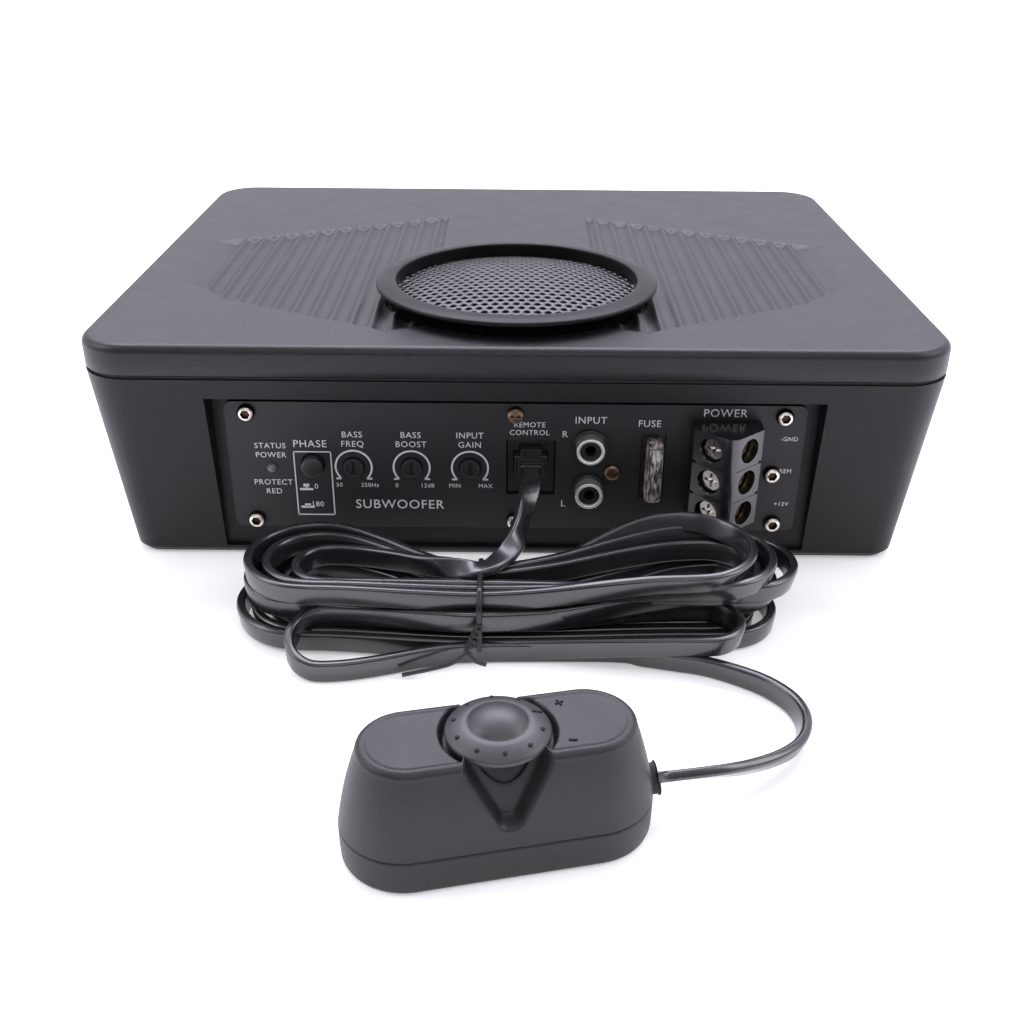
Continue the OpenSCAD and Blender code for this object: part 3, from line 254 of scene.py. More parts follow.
def make_materials():
    """Every finish by name; the panel screws' sockets get painted shade, going dark a little behind
    the panel's face.
    """
    made = {
        "housing": finish((0.005, 0.005, 0.006), (0.008, 0.008, 0.009), 0.42,
                          grain=2200, bump=0.8, depth=0.09, gloss=0.27),
        "cover": finish((0.005, 0.005, 0.006), (0.008, 0.008, 0.009), 0.4,
                        grain=2000, bump=0.9, depth=0.1, gloss=0.42),
        "ring": finish((0.003, 0.003, 0.003), (0.005, 0.005, 0.005), 0.34,
                       grain=2400, bump=0.25, depth=0.05, gloss=0.16),
        "panel": finish((0.011, 0.011, 0.013), (0.016, 0.016, 0.018), 0.5,
                        grain=1800, bump=0.2, gloss=0.42),
        "print": finish((0.62, 0.62, 0.63), (0.74, 0.74, 0.75), 0.6, bump=0.1),
        "chrome": finish((0.42, 0.40, 0.38), (0.56, 0.54, 0.52), 0.13, metal=1.0,
                         grain=1500, bump=0.1),
        # painted shade in the screw sockets, dark from y -94.75 to -94.45
        "hex_painted_shade": screw_with_painted_shade((0.95, 0.90, 0.84), (0.05, 0.03, 0.02), -94.75, -94.45),
        "brown": finish((0.16, 0.10, 0.07), (0.30, 0.22, 0.17), 0.35, metal=1.0,
                        grain=1500, bump=0.2),
        "nickel": finish((0.80, 0.78, 0.74), (0.92, 0.90, 0.86), 0.42, metal=1.0,
                         grain=1200, bump=0.05),
        "steel": finish((0.42, 0.42, 0.43), (0.55, 0.55, 0.56), 0.34, metal=1.0,
                        grain=1400, bump=0.15),
        "frame": finish((0.012, 0.012, 0.013), (0.02, 0.02, 0.021), 0.5, metal=0.3),
        "ferrite": finish((0.03, 0.03, 0.032), (0.05, 0.05, 0.052), 0.7, bump=0.4),
        "copper": finish((0.62, 0.26, 0.12), (0.75, 0.36, 0.2), 0.3, metal=1.0,
                         grain=3000, bump=0.4, stretch=(1, 1, 3)),
        "paper": finish((0.016, 0.016, 0.017), (0.028, 0.028, 0.03), 0.75,
                        grain=700, bump=0.7, depth=0.15),
        "rubber": finish((0.010, 0.010, 0.010), (0.017, 0.017, 0.017), 0.62,
                         grain=1500, bump=0.35),
        "cloth": finish((0.42, 0.30, 0.15), (0.55, 0.42, 0.24), 0.85, grain=2600,
                        bump=0.9, depth=0.12),
        "wire": finish((0.30, 0.02, 0.02), (0.40, 0.03, 0.03), 0.4, bump=0.1),
        "board": finish((0.01, 0.10, 0.045), (0.015, 0.15, 0.06), 0.42, grain=600),
        "aluminium": finish((0.62, 0.63, 0.64), (0.74, 0.75, 0.76), 0.36,
                            metal=1.0, grain=1600, bump=0.2, stretch=(1, 12, 1)),
        "epoxy": finish((0.02, 0.02, 0.022), (0.035, 0.035, 0.037), 0.55),
        "sleeve": finish((0.02, 0.025, 0.09), (0.03, 0.035, 0.13), 0.35),
        "yellow": finish((0.70, 0.52, 0.05), (0.80, 0.62, 0.08), 0.6, bump=0.3),
        "lens": finish((0.10, 0.085, 0.08), (0.17, 0.15, 0.14), 0.25, coat=0.6),
        "switch": finish((0.018, 0.018, 0.02), (0.03, 0.03, 0.032), 0.45),
        "button": finish((0.012, 0.012, 0.013), (0.02, 0.02, 0.021), 0.32, gloss=0.6),
        "trimmer": finish((0.03, 0.05, 0.11), (0.04, 0.06, 0.14), 0.45),
        "knob": finish((0.016, 0.016, 0.017), (0.026, 0.026, 0.028), 0.36, gloss=0.6,
                       grain=1500, bump=0.2),
        "connector": finish((0.010, 0.010, 0.011), (0.016, 0.016, 0.018), 0.33,
                            gloss=0.55),
        "fuse": crinkled(),
        "glossy": finish((0.008, 0.008, 0.009), (0.012, 0.012, 0.014), 0.2,
                         gloss=0.7, coat=0.35, grain=500, bump=0.06),
        "brass": finish((0.60, 0.42, 0.16), (0.72, 0.54, 0.25), 0.3, metal=1.0,
                        bump=0.15),
        "remote": finish((0.013, 0.013, 0.014), (0.018, 0.018, 0.020), 0.45,
                         grain=2200, bump=0.8, depth=0.09, gloss=0.42),
        "remote_knob": finish((0.030, 0.029, 0.032), (0.040, 0.039, 0.043), 0.44,
                              grain=2600, bump=0.2, gloss=0.6),
        "cord": finish((0.009, 0.009, 0.010), (0.014, 0.014, 0.016), 0.26,
                       gloss=0.85, grain=350, bump=0.1, depth=0.2, coat=0.25),
        "tie": finish((0.008, 0.008, 0.008), (0.014, 0.014, 0.014), 0.34, grain=600,
                      bump=0.2),
        "dark": finish((0.004, 0.004, 0.004), (0.008, 0.008, 0.008), 0.8),
        "grille": finish((0.07, 0.07, 0.075), (0.12, 0.12, 0.125), 0.3, metal=0.85,
                         grain=1500, bump=0.15),
    }
    for name, material in made.items():
        material.name = name
    return made


# ------------------------------------------------------------ mesh helpers

def make_piece(name, points, faces, material, body="housing", smooth=True):
    """A mesh from points in millimetres, riding on a body of the model."""
    mesh = bpy.data.meshes.new(name)
    mesh.from_pydata([Vector(p) * MM for p in points], [], faces)
    mesh.validate()
    mesh.polygons.foreach_set("use_smooth", [smooth] * len(mesh.polygons))
    mesh.materials.append(MATERIALS[material])
    obj = add_object(name, mesh)
    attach(obj, body)
    return obj


def soften(obj, width, segments=2, angle=35):
    """Small rounded edges, then normals that keep the flat faces flat."""
    weld_points(obj)
    bevel = obj.modifiers.new("bevel", "BEVEL")
    bevel.width = width * MM
    bevel.segments = segments
    bevel.limit_method = "ANGLE"
    bevel.angle_limit = math.radians(angle)
    bevel.use_clamp_overlap = True
    bevel.harden_normals = True


def rings_to_faces(count, rings):
    """Faces between rings of `count` points that follow each other."""
    faces = []
    for i in range(rings - 1):
        for k in range(count):
            a = i * count + k
            b = i * count + (k + 1) % count
            faces.append((a, b, b + count, a + count))
    return faces


def tube_faces(count, rings):
    """Faces of a swept section, closed at both ends."""
    faces = rings_to_faces(count, rings)
    faces.append(tuple(range(count)))
    end = (rings - 1) * count
    faces.append(tuple(range(end + count - 1, end - 1, -1)))
    return faces


def weld_points(obj, reach=0.02):
    """Joins points that lie within `reach` millimetres."""
    weld = obj.modifiers.new("weld", "WELD")
    weld.merge_threshold = reach * MM


def revolve(profile, at=(0, 0, 0), count=96, cap=False):
    """Points and faces of a profile of (radius, height) turned about +Z."""
    points = []
    for radius, height in profile:
        for k in range(count):
            a = 2 * math.pi * k / count
            points.append((at[0] + radius * math.cos(a), at[1] + radius * math.sin(a),
                           at[2] + height))
    faces = rings_to_faces(count, len(profile))
    if cap:
        faces.append(tuple(range(count))[::-1])
        last = (len(profile) - 1) * count
        faces.append(tuple(range(last, last + count)))
    return points, faces


def smoothstep(low, high, value):
    """0 at low and 1 at high, with a smooth rise between; low may be the larger."""
    t = min(1.0, max(0.0, (value - low) / (high - low)))
    return t * t * (3 - 2 * t)


def joined(parts):
    """Several (points, faces) as one."""
    points, faces = [], []
    for more_points, more_faces in parts:
        start = len(points)
        points += more_points
        faces += [tuple(i + start for i in f) for f in more_faces]
    return points, faces


def spline(points, steps):
    """A curve through points of any number of values each."""
    out = []
    last = len(points) - 1
    size = len(points[0])
    for i in range(last):
        a, b = points[max(i - 1, 0)], points[i]
        c, d = points[i + 1], points[min(i + 2, last)]
        for s in range(steps):
            t = s / steps
            t2, t3 = t * t, t * t * t
            out.append(tuple(0.5 * (2 * b[k] + (c[k] - a[k]) * t
                                    + (2 * a[k] - 5 * b[k] + 4 * c[k] - d[k]) * t2
                                    + (3 * b[k] - a[k] - 3 * c[k] + d[k]) * t3)
                             for k in range(size)))
    out.append(tuple(points[last]))
    return out


def sweep(route, section, turns=None):
    """Points and faces of a section carried along a route; a turn of 0 stands it on edge."""
    points = []
    last = len(route) - 1
    side = None
    for i, p in enumerate(route):
        ahead = (Vector(route[min(i + 1, last)][:3]) - Vector(route[max(i - 1, 0)][:3]))
        ahead.normalize()
        level = ahead.cross(Vector((0, 0, 1)))
        if level.length > 0.05:
            side = level.normalized()
        up = side.cross(ahead).normalized()
        angle = math.radians(turns[i] if turns else 0)
        for across, along in section:
            x = across * math.cos(angle) + along * math.sin(angle)
            y = along * math.cos(angle) - across * math.sin(angle)
            points.append(tuple(Vector(p[:3]) + side * x + up * y))
    return points, tube_faces(len(section), len(route))


def rounded_section(width, height, radius, steps=3):
    """Points of a rectangle with round corners."""
    points = []
    for quarter in range(4):
        cx = (width / 2 - radius) * (1 if quarter in (0, 3) else -1)
        cy = (height / 2 - radius) * (1 if quarter < 2 else -1)
        for s in range(steps + 1):
            a = math.pi / 2 * (quarter + s / steps)
            points.append((cx + radius * math.cos(a), cy + radius * math.sin(a)))
    return points


# ------------------------------------------------------------ the cord

CORD_W = 6.0
CORD_T = 2.5
TIE_X = -9.0
LOBE_LONG = 1.05

# Each turn of the hank: (back y, z) and (front y, z) at the tie, then its left and right ends as
# x, back y, front y, z where the end begins, z where it closes, lean in degrees
TURNS = [
    ((-35.5, 20.2), (-38.8, 16.0), (-60, -20, -37.5, 15.5, 15.5, 6), (66, -18, -42.5, 17, 17, 12)),
    ((-33.6, 16.0), (-41.4, 16.0), (-68, -15, -41, 17, 17, 8), (70, -14, -45, 20, 20, 16)),
    ((-31.0, 16.0), (-44.0, 15.6), (-73, -11, -45, 18, 18, 4), (64, -13.2, -47, 23.4, 23.4, 22)),
    ((-29.9, 9.6), (-45.5, 9.8), (-74, -12, -40.5, 11.4, 10.6, 5), (77, -12, -39.6, 16, 16, 12)),
    ((-32.5, 9.6), (-42.9, 9.6), (-70, -15, -37.5, 10.2, 10.0, 4), (72, -14.5, -37, 11, 11, 6)),
    ((-35.1, 9.6), (-40.3, 9.6), (-64, -17.6, -34.6, 9.6, 9.6, 0), (65, -17.4, -34.4, 9.7, 9.7, 0)),
    ((-37.7, 3.2), (-40.3, 3.2), (-61, -20, -37, 3.2, 3.2, 0), (60, -20.2, -37.2, 3.2, 3.2, 0)),
    ((-35.1, 3.2), (-42.9, 3.2), (-67, -17, -40, 3.3, 3.3, 4), (66, -17.4, -40, 3.2, 3.2, 4)),
    ((-32.5, 3.2), (-45.5, 3.2), (-72, -14, -43, 3.8, 3.6, 6), (72, -14.2, -43, 3.4, 3.4, 6)),
    ((-29.9, 3.2), (-48.1, 3.2), (-76, -11, -46, 4.8, 4.0, 8), (60, -37.6, -54.4, 9.0, 9.8, 10)),
    ((-47.0, 11.0), (-49.5, 3.2), (-59, -42, -59, 9.6, 3.2, 4), None),
]
LEAD_IN = [
    (4.7, 2.5, 32, 90), (4.5, -5, 31, 90), (4, -9, 29.5, 62), (3, -13, 27.5, 34),
    (2, -17, 25.5, 22), (1, -21, 23.8, 30), (0, -25, 22.4, 55), (-3, -30, 21, 85),
]
LEAD_OUT = [
    (26, -49, 3.2, 4), (34, -51, 3.2, 8), (42, -53, 3.2, 10), (50, -55, 3.2, 10),
    (58, -59, 3.2, 6), (65, -64, 3.2, 0), (70, -71, 3.2, -6), (71, -79, 3.4, -12),
    (68, -87, 3.8, -20), (62, -93, 4.6, -28), (54, -98, 6, -36), (46, -102, 8, -44),
    (31.2, -106.1, 9.5, -52),
]


def hank_end(start, close, tip, side):
    """One end of a turn, from the tie round the end and back to the tie."""
    (y_start, z_start), (y_close, z_close) = start, close
    x, back, front, z_in, z_out, lean = tip
    y_in, y_out = (back, front) if side < 0 else (front, back)
    half = abs(back - front) / 2
    middle = (back + front) / 2
    centre = x - side * LOBE_LONG * half
    points = []
    for t in (0.3, 0.6, 0.82):
        s = smoothstep(0, 1, t)
        points.append((TIE_X + (centre - TIE_X) * t, y_start + (y_in - y_start) * s,
                       z_start + (z_in - z_start) * s, lean * s))
    steps = 8
    for i in range(steps + 1):
        a = math.pi * (0.5 - i / steps)
        z = z_in + (z_out - z_in) * smoothstep(0.0, 1.0, i / steps)
        x_here = centre + side * LOBE_LONG * half * math.cos(a)
        y_here = middle - side * half * math.sin(a)
        points.append((x_here, y_here, z, lean))
    for t in (0.82, 0.6, 0.3):
        s = smoothstep(0, 1, t)
        points.append((TIE_X + (centre - TIE_X) * t, y_close + (y_out - y_close) * s,
                       z_close + (z_out - z_close) * s, lean * s))
    return points


def cord_route():
    """The cord's centreline from the plug to the remote, each point with its turn."""
    points = list(LEAD_IN)
    for i, (back, front, left, right) in enumerate(TURNS):
        points.append((TIE_X, *back, 90 if i == 0 else 0))
        points += hank_end(back, front, left, -1)
        points.append((TIE_X, *front, 0))
        if right:
            points += hank_end(front, TURNS[i + 1][0], right, 1)
    points += LEAD_OUT
    points = [(x, y + FRONT_Y, z, turn) for x, y, z, turn in points]
    return spline(points, 4)


def length_of(route):
    """Length along a route, in millimetres."""
    return sum((Vector(b[:3]) - Vector(a[:3])).length for a, b in zip(route, route[1:]))


def make_cord():
    """The flat cord, with its path and its length in metres."""
    route = cord_route()
    section = rounded_section(CORD_T, CORD_W, 0.8, 3)
    points, faces = sweep(route, section, [p[3] for p in route])
    cord = make_piece("remote_cord", points, faces, "cord")
    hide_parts("cord_lead_in", "cord_hank", "cord_lead_out")
    path = [tuple(c * MM for c in p[:3]) for p in route]
    return cord, path, length_of(route) * MM


def make_tie():
    """A thin tie round the hank, twisted together at the front with one long tail."""
    low, high, back, front, bend = 0.9, 20.6, -127.4, -150.6, 5
    loop = []
    corners = [(back - bend, low + bend, -90), (back - bend, high - bend, 0),
               (front + bend, high - bend, 90), (front + bend, low + bend, 180)]
    for y, z, begin in corners:
        for s in range(5):
            a = math.radians(begin + 90 * s / 4)
            loop.append((TIE_X, y + bend * math.cos(a), z + bend * math.sin(a)))
    loop.append(loop[0])
    flat = rounded_section(1.5, 1.1, 0.5, 3)
    parts = [ring_sweep(spline(loop, 3), flat, Vector((1, 0, 0)))]
    knot_start = Vector((TIE_X, -151.3, 12.5))
    knot_end = Vector((-12, -154.0, 6.0))
    for phase in (0, math.pi):
        strand = []
        for s in range(25):
            t = s / 24
            a = phase + 2 * math.pi * 2.5 * t
            off = Vector((math.cos(a), math.sin(a) * 0.4, math.sin(a) * 0.7)) * 0.8
            strand.append(tuple(knot_start.lerp(knot_end, t) + off))
        parts.append(ring_sweep(strand, rounded_section(1.0, 0.9, 0.4, 3), Vector((0, 1, 0))))
    tail = spline([(-12, -154, 6), (-16, -156, 4), (-21, -156.5, 2.6), (-29, -157.5, 1.2)], 6)
    parts.append(ring_sweep(tail, rounded_section(1.2, 0.9, 0.42, 3), Vector((0, 0, 1))))
    stub = spline([(-12, -154, 6), (-10, -155.5, 4.5), (-7, -156, 3.6)], 6)
    parts.append(ring_sweep(stub, rounded_section(1.2, 0.9, 0.42, 3), Vector((0, 0, 1))))
    points, faces = joined(parts)
    tie = make_piece("cord_tie", points, faces, "tie")
    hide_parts("hank_tie")
    return tie


def ring_sweep(route, section, across):
    """A section swept along a route, its first axis kept near `across`."""
    points = []
    last = len(route) - 1
    for i, p in enumerate(route):
        ahead = Vector(route[min(i + 1, last)]) - Vector(route[max(i - 1, 0)])
        if (Vector(route[0]) - Vector(route[last])).length < 1e-6 and i in (0, last):
            ahead = Vector(route[1]) - Vector(route[last - 1])
        ahead.normalize()
        out = ahead.cross(across).normalized()
        side = out.cross(ahead).normalized()
        for u, v in section:
            points.append(tuple(Vector(p) + side * u + out * v))
    return points, tube_faces(len(section), len(route))


# ------------------------------------------------------------ the housing

TOP_Z = 70.0
SEAM_TOP = 60.9
EDGE_R = 2.5
EDGE_STEPS = 6
CORNER_R = 15.0
CORNER_STEPS = 14
CORE_X, CORE_Y = 110.0, 85.0
RING_HOLE = 41.5
FLUTE_PITCH = 6.2
FLUTE_START = 27.0
FLUTE_R = 3.8
FLUTE_HALF = 2.9
FLUTE_END = 1.8
FLUTED_X = (24, 108)
# The same outline as the CAD's, from the middle of the front edge
FLUTE_OUTLINE = [(26, 20), (38, 15), (90, 43), (104, 60), (107, 90), (107, 110), (26, 150)]
FINE_COLUMNS = 161
SIDE_STRIPS = (1, 3, 6, 10, 14, 18, 21)


def depth_inside(x, y, outline):
    """Distance from a point to an outline, above zero inside it."""
    inside = False
    nearest = 1e9
    count = len(outline)
    for i in range(count):
        ax, ay = outline[i]
        bx, by = outline[(i + 1) % count]
        if (ay > y) != (by > y) and x < (bx - ax) * (y - ay) / (by - ay) + ax:
            inside = not inside
        ux, uy = bx - ax, by - ay
        t = ((x - ax) * ux + (y - ay) * uy) / (ux * ux + uy * uy)
        t = min(1.0, max(0.0, t))
        nearest = min(nearest, math.hypot(x - ax - t * ux, y - ay - t * uy))
    return nearest if inside else -nearest


def cover_height(x, y):
    """Height of the top at a point, with the flutes cut in it."""
    ax = abs(x)
    if not FLUTED_X[0] <= ax <= FLUTED_X[1]:
        return TOP_Z
    inside = depth_inside(ax, y - FRONT_Y, FLUTE_OUTLINE)
    if inside <= 0:
        return TOP_Z
    off = (ax - FLUTE_START + FLUTE_PITCH / 2) % FLUTE_PITCH - FLUTE_PITCH / 2
    if abs(off) > FLUTE_HALF:
        return TOP_Z
    deep = math.sqrt(FLUTE_R ** 2 - off ** 2) - math.sqrt(FLUTE_R ** 2 - FLUTE_HALF ** 2)
    return TOP_Z - deep * smoothstep(0, FLUTE_END, inside)


def half_width(y, radius):
    """Half width of the rounded outline with corner `radius` about the core, at y."""
    over = abs(y) - CORE_Y
    if over <= 0:
        return CORE_X + radius
    return CORE_X + math.sqrt(max(0.0, radius * radius - over * over))


def cover_rows(radius):
    """Places along Y: close together round the corners, and 1 mm apart between them."""
    turns = [math.pi / 2 * k / CORNER_STEPS for k in range(CORNER_STEPS + 1)]
    rows = [-(CORE_Y + radius * math.cos(a)) for a in turns[:-1]]
    rows += [-CORE_Y + k for k in range(int(2 * CORE_Y) + 1)]
    rows += [CORE_Y + radius * math.sin(a) for a in turns[1:]]
    return rows


def cover_columns():
    """Places along X: ten to a flute, then wider strips; and where the strips begin."""
    fine = FLUTE_PITCH / 10
    edge = FINE_COLUMNS * fine
    columns = [k * fine for k in range(-FINE_COLUMNS, FINE_COLUMNS + 1)]
    for extra in SIDE_STRIPS:
        columns = [-edge - extra] + columns + [edge + extra]
    return columns, edge


def cover_top(inner):
    """Points and faces of the fluted top, open under the ring, and its width in points."""
    rows = cover_rows(inner)
    columns, edge = cover_columns()
    points = []
    for y in rows:
        stretch = (half_width(y, inner) - edge) / SIDE_STRIPS[-1]
        for c in columns:
            x = c if abs(c) <= edge else math.copysign(edge + (abs(c) - edge) * stretch, c)
            points.append((x, y, cover_height(x, y)))
    width = len(columns)
    faces = []
    for j in range(len(rows) - 1):
        for i in range(width - 1):
            a = j * width + i
            cx = (points[a][0] + points[a + 1][0]) / 2
            cy = (points[a][1] + points[a + width][1]) / 2
            if math.hypot(cx - RING_AT[0], cy - RING_AT[1]) > RING_HOLE:
                faces.append((a, a + 1, a + 1 + width, a + width))
    return points, faces, width, len(rows)


def grid_border(width, depth):
    """The outer points of a grid, once round."""
    last = depth - 1
    border = list(range(width))
    border += [j * width + width - 1 for j in range(1, last + 1)]
    border += [last * width + i for i in range(width - 2, -1, -1)]
    border += [j * width for j in range(last - 1, 0, -1)]
    return border


def make_cover():
    """The cover: its fluted top, then its rounded edge down to the seam."""
    inner = CORNER_R - EDGE_R
    points, faces, width, depth = cover_top(inner)
    border = grid_border(width, depth)
    levels = []
    for k in range(1, EDGE_STEPS + 1):
        a = math.pi / 2 * k / EDGE_STEPS
        levels.append((inner + EDGE_R * math.sin(a), TOP_Z - EDGE_R * (1 - math.cos(a))))
    levels += [(CORNER_R, 64), (CORNER_R, SEAM_TOP + 0.5), (CORNER_R - 0.4, SEAM_TOP),
               (CORNER_R - 3.5, SEAM_TOP)]
    previous = border
    for radius, z in levels:
        ring = []
        for index in border:
            x, y = points[index][0], points[index][1]
            cx = max(-CORE_X, min(CORE_X, x))
            cy = max(-CORE_Y, min(CORE_Y, y))
            out = Vector((x - cx, y - cy))
            out.normalize()
            ring.append(len(points))
            points.append((cx + out[0] * radius, cy + out[1] * radius, z))
        for k in range(len(border)):
            n = (k + 1) % len(border)
            faces.append((previous[n], previous[k], ring[k], ring[n]))
        previous = ring
    cover = make_piece("cover_shell", points, faces, "cover")
    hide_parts("top_cover")


def make_grille():
    """Perforated steel: round holes in a triangular pattern, pressed into a shallow dome."""
    pitch, hole, sides = 3.15, 1.08, 12
    edge_z, rise, reach = 71.2, 3.4, 37.7
    sheet_r, holed_r = 38.2, 36.6
    corners = [math.radians(360 * k / sides) for k in range(sides)]
    row_step = pitch * math.sqrt(3) / 2
    cell = pitch / math.sqrt(3)
    points, faces, seen = [], [], {}

    def point(x, y):
        key = (round(x, 3), round(y, 3))
        if key not in seen:
            seen[key] = len(points)
            z = edge_z + rise * (1 - (x * x + y * y) / (reach * reach))
            points.append((x + RING_AT[0], y + RING_AT[1], z))
        return seen[key]

    rows = math.ceil(sheet_r / row_step)
    across = math.ceil(sheet_r / pitch)
    for j in range(-rows, rows + 1):
        cy = j * row_step
        shift = pitch / 2 if j % 2 else 0
        for i in range(-across - 1, across + 1):
            cx = i * pitch + shift
            away = math.hypot(cx, cy)
            if away > sheet_r:
                continue
            outer = []
            for k, a in enumerate(corners):
                size = cell if k % 2 else cell * math.cos(math.pi / 6)
                outer.append(point(cx + size * math.cos(a), cy + size * math.sin(a)))
            if away > holed_r:
                faces.append(tuple(outer))
                continue
            ring = [point(cx + hole * math.cos(a), cy + hole * math.sin(a)) for a in corners]
            for k in range(sides):
                n = (k + 1) % sides
                faces.append((outer[k], outer[n], ring[n], ring[k]))
    mesh = make_piece("grille_sheet", points, faces, "grille")
    thick = mesh.modifiers.new("thickness", "SOLIDIFY")
    thick.thickness = 0.7 * MM
    thick.offset = -1
    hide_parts("grille_mesh")


def make_ring():
    """The grille's ring: a rounded inner lip, a broad face and a rounded rim."""
    profile = [(37.7, 67), (37.7, 74.6)]
    for k in range(1, 5):
        a = math.pi - math.pi / 2 * k / 4
        profile.append((38.4 + 0.7 * math.cos(a), 74.8 + 0.7 * math.sin(a)))
    profile += [(40.0, 75.45), (41.8, 75.2), (43.0, 74.9)]
    for k in range(1, 7):
        a = math.pi / 2 - math.pi * k / 6
        profile.append((43.2 + 0.8 * math.cos(a), 74.05 + 0.8 * math.sin(a)))
    profile += [(42.2, 72.8), (41.2, 72.0), (40.6, 71.2), (40.5, 69.8), (39.5, 67)]
    points, faces = revolve(profile, (*RING_AT, 0), 144)
    ring = make_piece("grille_trim", points, faces, "ring")
    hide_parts("grille_ring")


# ------------------------------------------------------------ print on the panel

PRINT_OUT = 0.06
DIALS = ("frequency_shaft", "boost_shaft", "gain_shaft")
SCALE_OUT = 4.6
FRAME_HALF = 5.5
SIGN_LEFT = 2.5


def dial_words(upper, lower, least, most):
    """The two lines over a dial and the ends of its scale."""
    return [(upper, 2.7, 0, 10.5), (lower, 2.7, 0, 7.5), (least, 1.9, -SCALE_OUT, -6),
            (most, 1.9, SCALE_OUT, -6)]


# Words by the part that they stand round: text, size, mm right of its middle, mm above it
WORDS = {
    "status_led": [("STATUS", 2.5, 0, 7), ("POWER", 2.5, 0, 4), ("PROTECT", 2.5, 0, -5),
                   ("RED", 2.5, 0, -8)],
    "phase_button": [("PHASE", 3.3, -0.5, 6.5), ("0", 2.4, 0.5, -7.5), ("180", 2.4, 0.5, -13.5)],
    "frequency_shaft": dial_words("BASS", "FREQ", "50", "250Hz"),
    "boost_shaft": dial_words("BASS", "BOOST", "0", "12dB") + [("SUBWOOFER", 4.2, -4, -12.5)],
    "gain_shaft": dial_words("INPUT", "GAIN", "MIN", "MAX"),
    "remote_jack": [("REMOTE", 2.3, -0.5, 18), ("CONTROL", 2.3, -0.5, 15.5)],
    "rca_shell_right": [("INPUT", 3.1, 0, 8), ("R", 2.9, -7.5, 3.5)],
    "rca_shell_left": [("L", 2.9, -7.5, -5)],
    "fuse_body": [("FUSE", 3.0, -1.5, 13.5)],
    "terminal_block": [("POWER", 3.5, -0.5, 18.5), ("-GND", 1.9, 19, 10.5), ("REM", 1.9, 19, 0),
                       ("+12V", 1.9, 19, -11)],
}


def middle_of(node):
    """The middle of a CAD node as seen from the front, x and z in millimetres."""
    low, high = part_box(node)
    return (low.x + high.x) / 2 / MM, (low.z + high.z) / 2 / MM


def text_piece(words, x, z, size):
    """White lettering on the panel's face, centred on x and z."""
    data = bpy.data.curves.new("words", "FONT")
    data.body = words
    data.size = size * MM
    data.align_x = "CENTER"
    data.align_y = "CENTER"
    data.extrude = PRINT_OUT / 2 * MM
    data.resolution_u = 3
    data.space_character = 1.1
    obj = add_object("words", data)
    bpy.context.view_layer.update()
    copy = bpy.data.meshes.new_from_object(obj.evaluated_get(
        bpy.context.evaluated_depsgraph_get()))
    bpy.data.objects.remove(obj)
    points = [(x + v.co.x / MM, PANEL_Y - v.co.z / MM, z + v.co.y / MM)
              for v in copy.vertices]
    faces = [tuple(p.vertices) for p in copy.polygons]
    bpy.data.meshes.remove(copy)
    return points, faces


def flat_line(a, b, wide):
    """A thin bar from a to b on the panel, each (x, z)."""
    ax, az = a
    bx, bz = b
    length = math.hypot(bx - ax, bz - az)
    nx, nz = -(bz - az) / length * wide / 2, (bx - ax) / length * wide / 2
    corners = [(ax + nx, az + nz), (bx + nx, bz + nz), (bx - nx, bz - nz), (ax - nx, az - nz)]
    points = [(x, PANEL_Y + 0.05, z) for x, z in corners]
    points += [(x, PANEL_Y - PRINT_OUT, z) for x, z in corners]
    return points, [(4, 5, 6, 7), (0, 3, 2, 1), (0, 1, 5, 4), (1, 2, 6, 5), (2, 3, 7, 6),
                    (3, 0, 4, 7)]


def dial_marks(x, z):
    """The arc and feet round a level dial."""
    parts = []
    steps = 30
    radius, wide = 5.4, 0.55
    ring = []
    for k in range(steps + 1):
        a = math.radians(-45 + 270 * k / steps)
        ring.append((x + radius * math.cos(a), z + radius * math.sin(a)))
    for a, b in zip(ring, ring[1:]):
        parts.append(flat_line(a, b, wide))
    for x_end, out in ((ring[0], 1), (ring[-1], -1)):
        parts.append(flat_line(x_end, (x_end[0] + out * 1.6, x_end[1]), wide))
    return parts


def box_outline(left, right, low, high, wide):
    """A rectangle drawn with four bars that meet at its corners."""
    corners = [(left, low), (right, low), (right, high), (left, high), (left, low)]
    grow = wide / 2
    parts = []
    for (ax, az), (bx, bz) in zip(corners, corners[1:]):
        dx = math.copysign(grow, bx - ax) if bx != ax else 0
        dz = math.copysign(grow, bz - az) if bz != az else 0
        parts.append(flat_line((ax - dx, az - dz), (bx + dx, bz + dz), wide))
    return parts


def button_sign(x, z, pressed):
    """A small picture of the button, out or pressed in."""
    top = 0.7 if pressed else 1.4
    parts = [flat_line((x - 2.0, z - 0.9), (x + 2.0, z - 0.9), 0.7)]
    parts.append(flat_line((x - 0.9, z + top - 1.0), (x + 0.9, z + top - 1.0), 1.0))
    parts.append(flat_line((x, z - 0.8), (x, z + top - 1.0), 0.5))
    return parts


def make_print():
    """All the words, the dials' arcs, and the frame with two signs under the button."""
    parts = []
    for node, words in WORDS.items():
        x, z = middle_of(node)
        parts += [text_piece(text, x + right, z + up, size) for text, size, right, up in words]
    for node in DIALS:
        parts += dial_marks(*middle_of(node))
    x, z = middle_of("phase_button")
    parts += box_outline(x - FRAME_HALF, x + FRAME_HALF, z - 17, z + 4, 0.35)
    parts += button_sign(x - SIGN_LEFT, z - 7.5, False)
    parts += button_sign(x - SIGN_LEFT, z - 13.5, True)
    points, faces = joined(parts)
    make_piece("panel_print", points, faces, "print", smooth=False)


# ------------------------------------------------------------ the inputs

